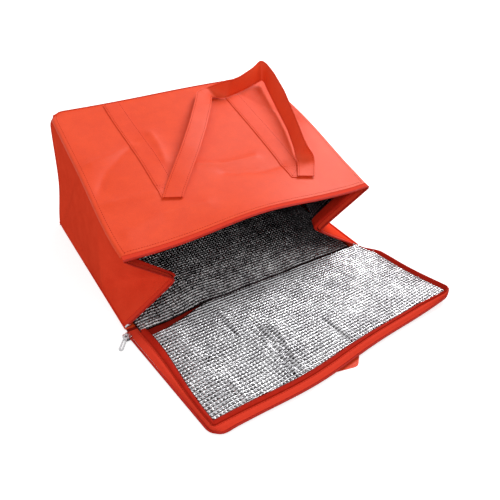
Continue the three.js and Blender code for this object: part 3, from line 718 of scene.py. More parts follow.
def gusset_wall(side, y, s, out):
    """A place on a gusset: y, then s from -1 at its low edge through the fold to 1 at the top."""
    y, s, out = alike(y, s, out)
    low, fold, high = gusset_corners(side, y, -out)

    def eased(value):
        return (np.sqrt(value ** 2 + FOLD_ROUND ** 2) + value) / 2

    least, most = eased(-1.0), eased(1.0)
    to_low, to_high = ((eased(v) - least) / (most - least) for v in (-s, s))
    x, z = (fold[k] + to_low * (low[k] - fold[k]) + to_high * (high[k] - fold[k]) for k in (0, 1))
    free = smooth(0, 0.25, 1 - np.abs(s)) * smooth(8, 60, y) * smooth(PANEL_LENGTH, 235, y)
    ripple = GUSSET_WAVE * wave(y, 33, side, s, 1 / 2.6, 0.5)
    ripple = ripple + sum(crease(y, z, line, h, reach) for h, reach, line in GUSSET_CREASES)
    x = x + side * free * ripple
    return settle(np.stack([x, y, z], -1))


def spaced(start, stop, pitch, multiple=1):
    """Evenly spaced values with both ends, near a pitch, in a whole number of groups."""
    count = max(1, round(abs(stop - start) / pitch / multiple)) * multiple
    return np.linspace(start, stop, count + 1)


def front_plane(out):
    """A place over the middle of the front wall's flat plane."""
    return np.array([FRONT_CENTRE_X, MOUTH_Y, SEAM_Z - PANEL_LENGTH * SIN]) + out * FRONT_NORMAL


# How far down a gusset bends when the front wall rises, and how far along the front loop bends
GUSSET_BEND = 88.0
LOOP_BEND = 14.0
# The line through the front loop's two roots
FRONT_FOLD_PLACE = np.array([6.0, 59.915, 113.345])
FRONT_FOLD_AXIS = np.array([0.9936053, -0.108564, -0.0310236])
LOOP_AHEAD = np.cross(FRONT_NORMAL, FRONT_FOLD_AXIS)
# The hinge strip bends between these distances from the mouth
HINGE_BEND = (-5.5, -13.0)

BLENDS = {
    # kind of piece: the two bodies it joins, and where it starts and ends to bend
    "gusset": ("bag_body", "front_wall", front_plane(-GUSSET_BEND), front_plane(0.0)),
    "front_handle": (
        "front_wall", "front_handle", FRONT_FOLD_PLACE, FRONT_FOLD_PLACE + LOOP_BEND * LOOP_AHEAD,
    ),
    "hinge": ("bag_body", "lid", (0, HINGE_BEND[0], BACK_Z), (0, HINGE_BEND[1], BACK_Z)),
}


def ride_as(piece, body, slot, *nodes):
    """The piece rides on a body, or where the body bends is only baked in place, and it stands for
    these nodes. The slot is not used.
    """
    if body in BLENDS:
        low, high, start, end = BLENDS[body]
        tuple(to_frame(start))
        tuple(to_frame(end))
        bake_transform(piece)
    else:
        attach(piece, body)
    if nodes:
        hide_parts(*nodes)


# ---- Shell

EDGE_TURN = 3.6
EDGE_PROUD = 1.1
BASE_TURN = 2.4
BASE_PROUD = 1.0
# How far round an edge turns, in radians
MOST_TURN = 1.5
CLOTH_PITCH = 3.0
SEAM_LAP = 9.0
LAP_FACES = (0.05, 0.25)


def turned_edge(place, half):
    """Cloth that turns down round its side edges: where it lies across, and how far it drops."""
    flat = half - EDGE_TURN
    past = np.maximum(np.abs(place) - flat, 0) / EDGE_TURN
    x = np.sign(place) * (np.minimum(np.abs(place), flat) + EDGE_TURN * np.sin(past))
    return x, EDGE_TURN * (1 - np.cos(past)), past


def edge_places(half):
    """Places across a panel of half width 1: even, and closer where its edges turn."""
    turn = EDGE_TURN / half
    flat = 1 - turn
    middle = np.linspace(-flat, flat, max(2, round(2 * half * flat / CLOTH_PITCH)) + 1)
    arc = np.linspace(0, MOST_TURN, 7)[1:] * turn
    return np.concatenate([-(flat + arc)[::-1], middle, flat + arc])


def wrapped_panel(name, wall, rows, centre, half_at):
    """A wall's cloth with its side edges turned over the gussets."""
    across = edge_places(WIDTH / 2)[None, :]
    half = half_at(rows)[:, None] + EDGE_PROUD
    faces = []
    for thick in (0.0, CLOTH):
        x, drop, past = turned_edge(across * half, half)
        x = x - np.sign(across) * thick * np.sin(past)
        out = -drop - thick * np.cos(past)
        faces.append(wall(centre + x, rows[:, None], out))
    return slab(name, *faces, CLOTH_RED)


def rim_turn(place, half, thick):
    """The base's rim, which turns over the other walls: place from the middle, and its drop."""
    flat = half - BASE_TURN
    past = np.minimum(np.maximum(place - flat, 0) / BASE_TURN, MOST_TURN)
    level = np.minimum(place, flat) + (BASE_TURN - thick) * np.sin(past)
    return level, (BASE_TURN - thick) * (1 - np.cos(past))


def build_shell():
    rows = spaced(0, PANEL_LENGTH, CLOTH_PITCH)
    front = wrapped_panel("front_cloth", front_wall, rows, FRONT_CENTRE_X, front_half)
    back = wrapped_panel(
        "back_cloth", back_wall, rows, BACK_CENTRE_X, lambda row: np.full_like(row, WIDTH / 2)
    )
    ride_as(front, "front_wall", "shell_cloth", "front_panel")
    ride_as(back, "bag_body", "shell_cloth", "back_panel")

    # The base is a shallow tray
    heights, across = edge_places(BASE_DEPTH / 2), edge_places(WIDTH / 2)[None, :]
    faces = []
    for thick in (0.0, CLOTH):
        most = BASE_DEPTH / 2 + BASE_PROUD
        level, drop = rim_turn(np.abs(heights) * most, most, thick)
        height = (BACK_Z + BASE_DEPTH / 2 + np.sign(heights) * level)[:, None]
        right, left = base_edge(1, height), base_edge(-1, height)
        most = (right - left) / 2 + BASE_PROUD
        x, drop_x = rim_turn(np.abs(across) * most, most, thick)
        x = (right + left) / 2 + np.sign(across) * x
        faces.append(base_wall(x, height, -thick - drop[:, None] - drop_x))
    ride_as(slab("base_cloth", *faces, CLOTH_RED), "bag_body", "shell_cloth", "base_panel")

    for side, name in SIDE_NAMES.items():
        ys = spaced(MOUTH_Y, PANEL_LENGTH, CLOTH_PITCH)[:, None]
        faces = [gusset_wall(side, ys, np.linspace(-1, 1, 57), out) for out in (0.0, -CLOTH)]
        gusset = slab(f"{name}_gusset_cloth", *faces, GUSSET_SHADED_RED)
        ride_as(gusset, "gusset", "shell_cloth", f"{name}_gusset")
        # The base's seam allowance lies inside the gusset and backs the seam where it is pulled
        ys = np.linspace(PANEL_LENGTH - SEAM_LAP, PANEL_LENGTH - GAP, 5)[:, None]
        s = np.linspace(-0.3, 0.97, 41)
        faces = [gusset_wall(side, ys, s, -CLOTH - out) for out in LAP_FACES]
        ride_as(slab(f"{name}_seam_lap", *faces, GUSSET_SHADED_RED), "bag_body", "shell_cloth")


# ---- Lining

GUSSET_REACH = -HEM[0]
LINING_END_Y = BASE_Y - CLOTH - GAP - BOARD - GAP - FOAM - GAP


def back_lining_edge(side, y):
    low, fold, _ = gusset_corners(side, np.asarray(y, float), GUSSET_REACH)
    slope = (fold[0] - low[0]) / (fold[1] - low[1])
    return low[0] + slope * (BACK_Z - LINING[0] - low[1]) - side * EDGE_PLAY


def front_lining_edge(side, row, out=LINING[0]):
    down = PANEL_LENGTH - np.asarray(row, float)
    y = PANEL_LENGTH - down * COS - out * SIN
    z = SEAM_Z - down * SIN + out * COS
    _, fold, high = gusset_corners(side, y, GUSSET_REACH)
    slope = (high[0] - fold[0]) / (high[1] - fold[1])
    return high[0] + slope * (z - high[1]) - side * EDGE_PLAY


HINGE_CREASE = (
    (-184, -18), (-168, -17), (-109, -11), (-82, -4.5), (20, -2.5), (102, 1.5), (190, 2),
)


def hinge_crease(x):
    """Where the floor's foil meets the lid's foil, y at each x."""
    xs, ys = zip(*HINGE_CREASE)
    return np.interp(x, xs, ys) + 0.8 * wave(x, 9, 0, x, 31, 0)


def hinge_wedge(x):
    """How far the lid's foil keeps away from the crease at its left end."""
    return 11 * np.clip((-60 - np.asarray(x, float)) / 88, 0, 1) ** 1.25


FOIL_PITCH = 1.125
GUSSET_FOIL_PITCH = 1.3
BASE_FOIL_PITCH = 1.5
# Half a gusset's section as its foil was cut
GUSSET_FOIL_HALF = 84.0
# The hidden face of a pad has one place for each four of the face that is seen
COARSE = 4


def edge_mask(shape):
    """1 inside a sheet, 0 on its rim."""
    rows, columns = np.arange(shape[0]), np.arange(shape[1])
    down = np.minimum(rows, rows[::-1])[:, None]
    side = np.minimum(columns, columns[::-1])[None, :]
    return smooth(0, 3, np.minimum(down, side).astype(float))


def foil_pad(name, finish, wall, places, layer, flat):
    """A foam pad with foil on its inner face, from its places on a wall and on the flat foil."""
    seen = wall(*places, layer[0])
    hidden = wall(*(place[::COARSE, ::COARSE] for place in places), layer[1])
    flat = np.stack(flat, -1) / 1000
    # Its rim mask also paints the pad's rim dark, as painted shade
    return press_pits(slab(name, seen, hidden, finish, flat, edge_mask(seen.shape[:2])))


def between_edges(left, right, rows, pitch, multiple=COARSE):
    """Places on a wall between two edges: across and row."""
    columns = round(float(np.max(right - left)) / pitch / multiple) * multiple + 1
    x = mix(left[:, None], right[:, None], np.linspace(0, 1, columns)[None, :])
    return x, np.broadcast_to(rows[:, None], x.shape)


def build_lining():
    def floor_wall(x, row, out):
        # The floor's foil runs on past the mouth to the crease by the hinge
        past = (row - GAP) / (LINING_END_Y - GAP)
        row = mix(hinge_crease(x) + GAP / 2, LINING_END_Y, past)
        over = 0.8 * smooth(2, -6, row) * smooth(-88, -135, x)
        return back_wall(x, row, out - over)

    # The front foil, like the gusset and base foils below, takes the film with painted shade
    for name, finish, wall, edge, body, first, last in (
        ("back", WRINKLED_FOIL, floor_wall, back_lining_edge, "bag_body", GAP, LINING_END_Y),
        ("front", SHADED_FOIL, front_wall, front_lining_edge, "front_wall", 0,
         front_row(LINING_END_Y)),
    ):
        rows = spaced(first, last, FOIL_PITCH, COARSE)
        places = between_edges(edge(-1, rows), edge(1, rows), rows, FOIL_PITCH)
        pad = foil_pad(f"{name}_foil", finish, wall, places, LINING, places)
        ride_as(pad, body, "foil_lining", f"{name}_lining")
    for side, name in SIDE_NAMES.items():
        ys = spaced(MOUTH_Y, PANEL_LENGTH, GUSSET_FOIL_PITCH, COARSE)
        ys, s = alike(ys[:, None], np.linspace(-1, 1, 129)[None, :])

        def wall(y, s, out, side=side):
            return gusset_wall(side, y, s, out)

        pad = foil_pad(
            f"{name}_gusset_foil", SHADED_FOIL, wall, (ys, s), LINING, (s * GUSSET_FOIL_HALF, ys)
        )
        ride_as(pad, "gusset", "foil_lining", f"{name}_gusset_lining")

    board_out = BASE_Y - CLOTH - GAP
    top = front_z(LINING_END_Y, LINING[0]) - GAP

    def inside(side, height):
        low, fold, _ = gusset_corners(side, np.full_like(height, PANEL_LENGTH), GUSSET_REACH)
        slope = (fold[0] - low[0]) / (fold[1] - low[1])
        return low[0] + slope * (height - low[1]) - side * GAP

    foam = (board_out - BOARD - GAP - FOAM - BASE_Y, board_out - BOARD - GAP - BASE_Y)
    heights = spaced(GUSSET_LOW_Z, top, BASE_FOIL_PITCH, COARSE)
    places = between_edges(inside(-1, heights), inside(1, heights), heights, BASE_FOIL_PITCH)
    pad = foil_pad("base_foil", SHADED_FOIL, base_wall, places, foam, places)
    ride_as(pad, "bag_body", "foil_lining", "base_lining")

    # The stiffening board between base and lining, with its corners clipped round
    round_corner = 12.0
    heights = spaced(GUSSET_LOW_Z, top, CLOTH_PITCH)
    near = np.maximum(0, round_corner - np.minimum(heights - GUSSET_LOW_Z, top - heights))
    pull = round_corner - np.sqrt(round_corner ** 2 - near ** 2)
    across = np.linspace(0, 1, 61)[None, :]
    x = mix((inside(-1, heights) + pull)[:, None], (inside(1, heights) - pull)[:, None], across)
    faces = [base_wall(x, heights[:, None], board_out - BASE_Y - d) for d in (0.0, BOARD)]
    ride_as(slab("stiff_board", *faces, GREY_BOARD), "bag_body", "base_board", "base_board")


# ---- Mouth: hem, zip tape and coil

# The hem lies on the lining and turns over its end: distance from the mouth, and out
HEM_PATH = np.array([
    (HEM_WIDTH, -4.0), (10.0, -4.0), (6.0, -4.0), (2.5, -4.0), (0.6, -4.0), (-0.1, -3.75),
    (-0.5, -3.25), (-0.6, -2.6), (-0.6, -1.95),
])
HEM_AHEAD = unit(np.gradient(HEM_PATH, axis=0))
HEM_AWAY = np.stack([HEM_AHEAD[:, 1], -HEM_AHEAD[:, 0]], -1)


# The tape is caught in the hem's turn, and the coil on the tape, so that no light comes between
TAPE_UNDER = 0.5
COIL_UNDER = 0.15
# Half the coil's thickness at its edges, and how much fuller it is along its middle
COIL_EDGE = 0.15
COIL_CROWN = 0.5
# How far the turns of the coil stand out of its middle
TOOTH_OUT = 0.55
# A gusset's whole section at the mouth, along which s runs from -1 to 1
MOUTH_SECTION = 90.0
STOP_LENGTH = 3.0
STOP_ROUND = 0.35
# Height of a stitch over hem or strap, and where the gussets' hem is stitched
STITCH_HEIGHT = 0.08
GUSSET_STITCH_HEIGHT = 0.12
GUSSET_STITCH_ROW = 3.0


def coil_half(share):
    """Half the thickness of a coil, at a share of its width."""
    return COIL_EDGE + COIL_CROWN * np.sqrt(np.maximum(0, 1 - (2 * share - 1) ** 2))


def rounded(piece, width_mm):
    """Rounds the hard edges of a small closed piece."""
    modifier = piece.modifiers.new("round", "BEVEL")
    modifier.width = width_mm / 1000
    modifier.segments = 3
    modifier.limit_method = "ANGLE"
    modifier.angle_limit = math.radians(40)
    made = worked_mesh(piece)
    piece.modifiers.clear()
    piece.data = made


def line_on(wall, a, b, out, sign=1):
    """A line on a wall with its outward directions, for stitches and zip teeth."""
    a, b = alike(a, b)
    here = wall(a, b, out)
    return here, sign * unit(wall(a, b, out + 0.5) - wall(a, b, out - 0.5))


def build_mouth(stitches, teeth):
    tape_out = -TAPE_SEAM - TAPE_WIDTH
    coil_in = tape_out - GAP
    coil_out = coil_in - COIL_WIDTH
    coil_middle = (coil_in + coil_out) / 2
    share = np.linspace(0, 1, 7)[:, None]
    tape_rows = mix(-TAPE_SEAM + TAPE_UNDER, tape_out, share)
    coil_rows = mix(tape_out + COIL_UNDER, coil_out, share)
    hem_faces = [np.hsplit(HEM_PATH + out * HEM_AWAY, 2) for out in (CLOTH / 2, -CLOTH / 2)]
    tape_faces = [(tape_rows, out) for out in TAPE[::-1]]
    coil_faces = [(coil_rows, sum(COIL) / 2 + sign * coil_half(share)) for sign in (1, -1)]
    after_stop = -1 + 2 * (STOP_LENGTH + GAP) / MOUTH_SECTION
    for kind, node, faces, first_s, material, slot in (
        ("hem", "hem", hem_faces, -1, HEM_RED, "hem_cloth"),
        ("tape", "zip_tape", tape_faces, -1, TAPE_RED, "zip_tape"),
        ("coil", "zip_coil", coil_faces, after_stop, COIL_RED, "zip_coil"),
    ):
        if kind == "hem":
            rows = np.maximum(HEM_PATH[:, :1], 0)
            left, right = (front_lining_edge(side, rows, HEM[0]) for side in SIDE_NAMES)
        else:
            left, right = (front_edge(side, 0.0) for side in SIDE_NAMES)
        x = mix(left, right, np.linspace(0, 1, 121)[None, :])
        piece = slab(
            f"front_mouth_{kind}_piece", *(front_wall(x, *face) for face in faces), material
        )
        ride_as(piece, "front_wall", slot, f"front_mouth_{node}")
        s = np.linspace(first_s, 1, 61)[None, :]
        for side, name in SIDE_NAMES.items():
            grids = [gusset_wall(side, MOUTH_Y + row, s, out) for row, out in faces]
            piece = slab(f"{name}_mouth_{kind}_piece", *grids, material)
            ride_as(piece, "gusset", slot, f"{name}_mouth_{node}")

    x = np.linspace(front_edge(-1, 0.0) + 1, front_edge(1, 0.0) - 1, 160)
    for sign in (1, -1):
        out = sign * TOOTH_OUT - CLOTH
        teeth["front_wall"].append(line_on(front_wall, x, coil_middle, out, sign))
    for side, name in SIDE_NAMES.items():
        def place(y, s, out, side=side):
            return gusset_wall(side, y, s, out)

        s = np.linspace(-0.92, 0.99, 90)
        for sign in (1, -1):
            out = sign * TOOTH_OUT - CLOTH
            teeth["gusset"].append(line_on(place, MOUTH_Y + coil_middle, s, out, sign))
        upper = s[s > 0.08]
        stitches["gusset"].append(
            line_on(place, MOUTH_Y + GUSSET_STITCH_ROW, upper, GUSSET_STITCH_HEIGHT)
        )
        ys = MOUTH_Y + np.array([coil_out, coil_middle, coil_in])[:, None]
        s = np.linspace(-1, -1 + 2 * STOP_LENGTH / MOUTH_SECTION, 4)
        grids = [gusset_wall(side, ys, s, out) for out in COIL[::-1]]
        piece = slab(f"{name}_stop_crimp", *grids, METAL)
        rounded(piece, STOP_ROUND)
        ride_as(piece, "bag_body", "zip_metal", f"{name}_zip_stop")


# ---- Lid

LID_BORDER = 6.5
LID_TAPE_WIDTH = 10.5
LID_LEFT_LENGTH = 176.0
LID_RIGHT_LENGTH = 148.0
LID_LEFT_RADIUS = 17.0
LID_RIGHT_RADIUS = 26.0
LEAST_RADIUS = 1.5
LID_CURL = 8.0
LID_CURL_REACH = 95.0
LID_FOIL_PITCH = (0.92, 0.84)
LID_PIT_DEPTH = 0.9
# The lid's foam swells next to the hinge, over these distances, and is thinner at its start
HINGE_SWELL = 2.4
HINGE_SWELL_REACH = (3.0, 14.0)
HINGE_THIN = 0.65
BORDER_CROWN = 1.4
BORDER_OVER_TAPE = 1.2
BORDER_STITCH_IN = 1.6
BORDER_STITCH_DROP = 0.7
TAPE_STITCH_SHARE = 0.75
TAPE_UNDER_BORDER = 0.4
TAPE_THICK = 1.0
TAPE_CROWN = 0.2
ZIP_START = 7.0
PLATE_THICK = 1.0
LID_WIDTH = WIDTH + 2 * ZIP_WIDTH
# The slider's lower plate fits under the coil
LID_UNDER = PLATE_THICK + GAP + COIL_THICK / 2 - CLOTH / 2
HINGE_WIDTH = 10.0
RIM_PITCH = 2.5
RIM_LINE_PITCH = 2.0


def turned(length, degrees):
    return np.array([math.cos(math.radians(degrees)), math.sin(math.radians(degrees))]) * length


# How the lid lies on the floor, with angles from the x axis in degrees
HINGE_MIDDLE = np.array([4.0, -9.0])
HINGE_ANGLE, LEFT_ANGLE, RIGHT_ANGLE = 1.25, -83.8, -82.6
HINGE_LEFT = HINGE_MIDDLE - turned(LID_WIDTH / 2, HINGE_ANGLE)
HINGE_RIGHT = HINGE_MIDDLE + turned(LID_WIDTH / 2, HINGE_ANGLE)
LEFT_RUN = turned(LID_LEFT_LENGTH, LEFT_ANGLE)
RIGHT_RUN = turned(LID_RIGHT_LENGTH, RIGHT_ANGLE)


# What the zip leaves of the lid's cloth near its rim: at the left edge from hinge to corner, at the
# near edge from left to right, and at the right edge
LEFT_KEPT, NEAR_KEPT, RIGHT_KEPT = (1.15, 0.33), (0.85, 0.3), 0.35
DRAWN_REACH = 38.0
NEAR_BOW = 8.0
# The rolled rim's height from left to right, more of it at the left corner, and the lid's waves
LID_ROLL = (2.4, 5.0)
CORNER_ROLL, CORNER_ROLL_REACH = 1.6, 30.0
LID_WAVE = 0.6


def drawn_in(distance, share):
    """Cloth near a rim that the zip draws together: its distance from the rim as it lies."""
    past = np.maximum(distance - COIL_WIDTH, 0)
    kept = 1 - (1 - share) * np.exp(-((past / DRAWN_REACH) ** 2))
    return np.minimum(distance, COIL_WIDTH) + past * kept


def round_pull(distance, radius):
    """How far a rounded corner cuts in, at a distance from the edge beside it."""
    past = np.clip(radius - distance, 0, radius)
    return radius - np.sqrt(radius ** 2 - past ** 2)


def lid_place(across, out):
    """Where a place cut on the flat lid lies: along the hinge from its left end, and out."""
    beside, across_left, across_right = LID_LEFT_LENGTH - out, across, LID_WIDTH - across
    left = across_left - round_pull(beside, LID_LEFT_RADIUS)
    right = across_right - round_pull(beside, LID_RIGHT_RADIUS)
    near = beside - round_pull(across_left, LID_LEFT_RADIUS)
    near = near - round_pull(across_right, LID_RIGHT_RADIUS)
    left_share = mix(*LEFT_KEPT, smooth(20, 150, out))
    near_share = mix(*NEAR_KEPT, smooth(300, 345, across))
    right_place = drawn_in(right, RIGHT_KEPT)
    gathered = np.maximum(right_place, 17 + (right_place - 10) * RIGHT_KEPT)
    right_place = mix(right_place, gathered, smooth(30, 0, out))
    across = across + drawn_in(left, left_share) - left - right_place + right
    out = out - drawn_in(near, near_share) + near
    bow = NEAR_BOW * np.exp(-(((across - 125) / 75) ** 2)) * smooth(90, LID_LEFT_LENGTH, out)
    return across, out + bow


def lid_wall(across, out, height):
    """A place on the lid, given by its place on the flat lid and its height over the cloth."""
    across, out, height = alike(across, out, height)
    inset = np.minimum(np.minimum(across, LID_WIDTH - across), LID_LEFT_LENGTH - out)
    roll = mix(*LID_ROLL, smooth(60, 300, across)) * smooth(-5, 60, out)
    from_corner = np.hypot(across, LID_LEFT_LENGTH - out) / CORNER_ROLL_REACH
    roll = roll + CORNER_ROLL * np.exp(-(from_corner ** 2))
    # The left edge stays level for the slider's run
    level = smooth(4, 40, across)
    rise = roll * smooth(22, 13, inset) * mix(0.35 * level, 1.0, smooth(3, 9, inset))
    across, out = lid_place(across, out)
    u, v = across / LID_WIDTH, out / LID_LEFT_LENGTH
    left = [HINGE_LEFT[k] + LEFT_RUN[k] * v for k in (0, 1)]
    right = [HINGE_RIGHT[k] + RIGHT_RUN[k] * v for k in (0, 1)]
    x, y = (mix(left[k], right[k], u) for k in (0, 1))
    corner = HINGE_RIGHT + RIGHT_RUN
    away = np.hypot(x - corner[0], y - corner[1])
    curl = LID_CURL * np.maximum(0, 1 - away / LID_CURL_REACH) ** 2
    lift = LID_WAVE * (1 + wave(x, 29, 0.5, y, 23, 1.0)) * smooth(4, 40, out) * level
    return np.stack([x, y, LID_UNDER + height + curl + lift + rise], -1)


def corner_radius(radius, inset):
    return max(radius - inset, LEAST_RADIUS)


def corner_pull(out, inset, radius):
    r = corner_radius(radius, inset)
    past = np.maximum(out - (LID_LEFT_LENGTH - inset - r), 0)
    return r - np.sqrt(np.maximum(r * r - past * past, 0))


# Lengths along the lid's rim to the start and end of each corner, and its whole length
RIM_1 = LID_LEFT_LENGTH - LID_LEFT_RADIUS
RIM_2 = RIM_1 + LID_LEFT_RADIUS * math.pi / 2
RIM_3 = RIM_2 + LID_WIDTH - LID_LEFT_RADIUS - LID_RIGHT_RADIUS
RIM_4 = RIM_3 + LID_RIGHT_RADIUS * math.pi / 2
RIM_END = RIM_4 + LID_LEFT_LENGTH - LID_RIGHT_RADIUS


def rim_place(inset, along):
    """A place on a line that follows the lid's rim from its left hinge end to its right one."""
    left_r = corner_radius(LID_LEFT_RADIUS, inset)
    right_r = corner_radius(LID_RIGHT_RADIUS, inset)
    left_bend, right_bend = inset + left_r, inset + right_r
    if along <= RIM_1:
        return inset, min(along, LID_LEFT_LENGTH - left_bend)
    if along < RIM_2:
        angle = (along - RIM_1) / LID_LEFT_RADIUS
        return (
            left_bend - left_r * math.cos(angle),
            LID_LEFT_LENGTH - left_bend + left_r * math.sin(angle),
        )
    if along <= RIM_3:
        across = LID_LEFT_RADIUS + along - RIM_2
        return min(max(across, left_bend), LID_WIDTH - right_bend), LID_LEFT_LENGTH - inset
    if along < RIM_4:
        angle = (along - RIM_3) / LID_RIGHT_RADIUS
        return (
            LID_WIDTH - right_bend + right_r * math.sin(angle),
            LID_LEFT_LENGTH - right_bend + right_r * math.cos(angle),
        )
    return LID_WIDTH - inset, min(RIM_END - along, LID_LEFT_LENGTH - right_bend)


def rim_stops(start, stop, pitch=RIM_PITCH):
    marks = sorted({start, stop, *(m for m in (RIM_1, RIM_2, RIM_3, RIM_4) if start < m < stop)})
    stops = [spaced(a, b, pitch)[:-1] for a, b in zip(marks[:-1], marks[1:])]
    return np.concatenate([*stops, [stop]])


def rim_wall(along, inset, height):
    """Places along the lid's rim, for arrays of one shape."""
    along, inset, height = alike(along, inset, height)
    flat = [rim_place(i, a) for i, a in zip(inset.ravel(), along.ravel())]
    places = np.array(flat).reshape(*along.shape, 2)
    return lid_wall(places[..., 0], places[..., 1], height)


def rim_strip(name, start, stop, outside, inside, low, high, material, crown, columns=7):
    """A strip along the rim whose top is crowned."""
    stops = rim_stops(start, stop)
    share = np.linspace(0, 1, columns)[None, :]
    inset = mix(outside, inside, share)
    arch = crown * (1 - (2 * share - 1) ** 2)
    top = rim_wall(stops[:, None], inset, high - crown + arch)
    under = rim_wall(stops[:, None], inset, low)
    flat = np.stack(alike(inset, stops[:, None]), -1) / 1000
    return slab(name, top, under, material, flat)


LID_FOIL_CREASES = (
    # depth, reach, line in the bag's own x and y
    (-1.2, 1.5, ((-44, -77), (-42, -102), (-49, -143), (-50, -168))),
    (-1.2, 1.5, ((-34, -82), (-33, -104), (-40, -140), (-42, -166))),
    (2.0, 2.2, ((-39, -80), (-37.5, -103), (-44.5, -141), (-46, -167))),
    (1.6, 3.0, ((-50, -80), (-48, -103), (-55, -141), (-56, -167))),
    (1.6, 3.0, ((-28, -84), (-27, -105), (-34, -140), (-36, -164))),
    (-1.1, 1.6, ((-74, -32), (-73, -75))), (1.5, 3.0, ((-69, -32), (-68, -75))),
    (-1.0, 1.6, ((31, -105), (34, -154))), (1.5, 3.0, ((36, -105), (39, -154))),
    (-1.2, 1.6, ((-118, -135), (-114, -173))), (1.7, 3.0, ((-113, -135), (-109, -173))),
    (1.0, 9.0, ((-58, -70), (-60, -170))),
    (0.9, 9.0, ((-20, -80), (-22, -168))),
    (0.8, 10.0, ((-130, -40), (-128, -172))),
    (0.8, 10.0, ((60, -60), (75, -150))),
    (0.8, 10.0, ((130, -40), (150, -140))),
)


def build_lid(stitches, teeth):
    tape_in = COIL_WIDTH + GAP
    panel_inset = tape_in + LID_TAPE_WIDTH + TAPE_SEAM
    lining_inset = panel_inset + LID_BORDER + GAP

    def sheet_grid(inset, pitch_out, pitch_across, multiple):
        outs = spaced(0.0, LID_LEFT_LENGTH - inset, pitch_out, multiple)
        left = inset + corner_pull(outs, inset, LID_LEFT_RADIUS)
        right = LID_WIDTH - inset - corner_pull(outs, inset, LID_RIGHT_RADIUS)
        return between_edges(left, right, outs, pitch_across, multiple)

    places = sheet_grid(panel_inset, CLOTH_PITCH, CLOTH_PITCH, 1)
    faces = [lid_wall(*places, height) for height in (0.0, CLOTH)]
    ride_as(slab("lid_cloth", *faces, CLOTH_RED), "lid", "shell_cloth", "lid_panel")

    # The lid's foil starts at the crease, but for a wedge of the hinge cloth at the left
    across, outs = sheet_grid(lining_inset, *LID_FOIL_PITCH, COARSE)
    end = LID_LEFT_LENGTH - lining_inset
    hinge = lid_wall(across, 0.0, 0.0)
    first = hinge[..., 1] - hinge_crease(hinge[..., 0]) + GAP / 2 + hinge_wedge(hinge[..., 0])
    bent = mix(first, end, outs / end)
    past = bent - first
    low, high = CLOTH + GAP, CLOTH + GAP + FOAM
    near, far = HINGE_SWELL_REACH
    swell = HINGE_SWELL * (1 - np.exp(-past / near)) * np.exp(-past / far)
    top = lid_wall(across, bent, high + swell - HINGE_THIN * (1 - smooth(4, 30, past)))
    relief = sum(
        crease(top[..., 0], top[..., 1], line, depth, reach)
        for depth, reach, line in LID_FOIL_CREASES
    )
    inside = smooth(0, 9, across - lining_inset) * smooth(0, 9, LID_WIDTH - lining_inset - across)
    top[..., 2] += relief * inside * smooth(0, 10, outs) * smooth(0, 9, end - outs)
    under = lid_wall(across[::COARSE, ::COARSE], bent[::COARSE, ::COARSE], low)
    flat = np.stack(lid_place(across, bent), -1) / 1000
    # The mask rises from 0 over the first rows from the hinge, so there the foil has no pits and is
    # painted dark, as shade in the crease
    from_hinge = smooth(0, 3, np.arange(top.shape[0], dtype=float))[:, None]
    mask = np.broadcast_to(from_hinge, top.shape[:2])
    foil = press_pits(slab("lid_foil", top, under, FOIL, flat, mask), LID_PIT_DEPTH)
    ride_as(foil, "lid", "foil_lining", "lid_lining")

    middle_1, middle_2 = (RIM_1 + RIM_2) / 2, (RIM_3 + RIM_4) / 2
    for name, start, stop in (
        ("left", 0.0, middle_1 - GAP / 2), ("front", middle_1 + GAP / 2, middle_2 - GAP / 2),
        ("right", middle_2 + GAP / 2, RIM_END),
    ):
        strip = rim_strip(
            f"lid_binding_{name}", start, stop, panel_inset - BORDER_OVER_TAPE,
            panel_inset + LID_BORDER, low, high + CLOTH, HEM_RED, BORDER_CROWN,
        )
        ride_as(strip, "lid", "shell_cloth", f"lid_border_{name}")
    tape = rim_strip(
        "lid_tape", -ZIP_START, RIM_END, tape_in, tape_in + LID_TAPE_WIDTH + TAPE_UNDER_BORDER,
        0.0, TAPE_THICK, TAPE_RED, TAPE_CROWN, 9,
    )
    ride_as(tape, "lid", "zip_tape", "lid_zip_tape")
    stops = rim_stops(-ZIP_START, RIM_END)[:, None]
    share = np.linspace(0, 1, 7)[None, :]
    faces = [
        rim_wall(stops, COIL_WIDTH * share, CLOTH / 2 + sign * coil_half(share)) for sign in (1, -1)
    ]
    ride_as(slab("lid_coil", *faces, COIL_RED), "lid", "zip_coil", "lid_zip_coil")
    line = rim_stops(-ZIP_START + 0.5, RIM_END - 0.5, RIM_LINE_PITCH)
    for sign in (1, -1):
        out = CLOTH / 2 + sign * TOOTH_OUT
        teeth["lid"].append(line_on(rim_wall, line, COIL_WIDTH / 2, out, sign))
    line = rim_stops(1.0, RIM_END - 1.0, RIM_LINE_PITCH)
    for inset, height in (
        (panel_inset + LID_BORDER - BORDER_STITCH_IN, high + CLOTH - BORDER_STITCH_DROP),
        (tape_in + LID_TAPE_WIDTH * TAPE_STITCH_SHARE, TAPE_THICK),
    ):
        stitches["lid"].append(line_on(rim_wall, line, inset, height))

    # The cloth that hinges the lid, and laps over its left end
    left = lid_wall(panel_inset, 0.0, 0.0)[0] + 0.6
    x = spaced(back_edge(-1) + 1, back_edge(1), CLOTH_PITCH)[None, :]
    line = lid_wall(x - HINGE_LEFT[0], 0.0, 0.0)[..., 1]
    near = np.minimum(line + 0.6, hinge_crease(x) - hinge_wedge(x))
    near = mix(ZIP_START + line + 1.5, near, smooth(left - 2, left, x))
    y = mix(near, -GAP, np.linspace(0, 1, 13)[:, None])
    lap = smooth(1.0, 4.0, hinge_wedge(x)) * smooth(8, 1, y - line)
    height = BACK_Z + lap * (LID_UNDER + CLOTH + GAP / 2 - BACK_Z)
    faces = [np.stack(alike(x, y, height + thick), -1) for thick in (CLOTH, 0.0)]
    # Its dark red is painted shade for the cloth in the hinge's crease
    ride_as(slab("hinge_cloth", *faces, HINGE_SHADED_RED), "hinge", "hem_cloth", "hinge_strip")


# ---- Straps

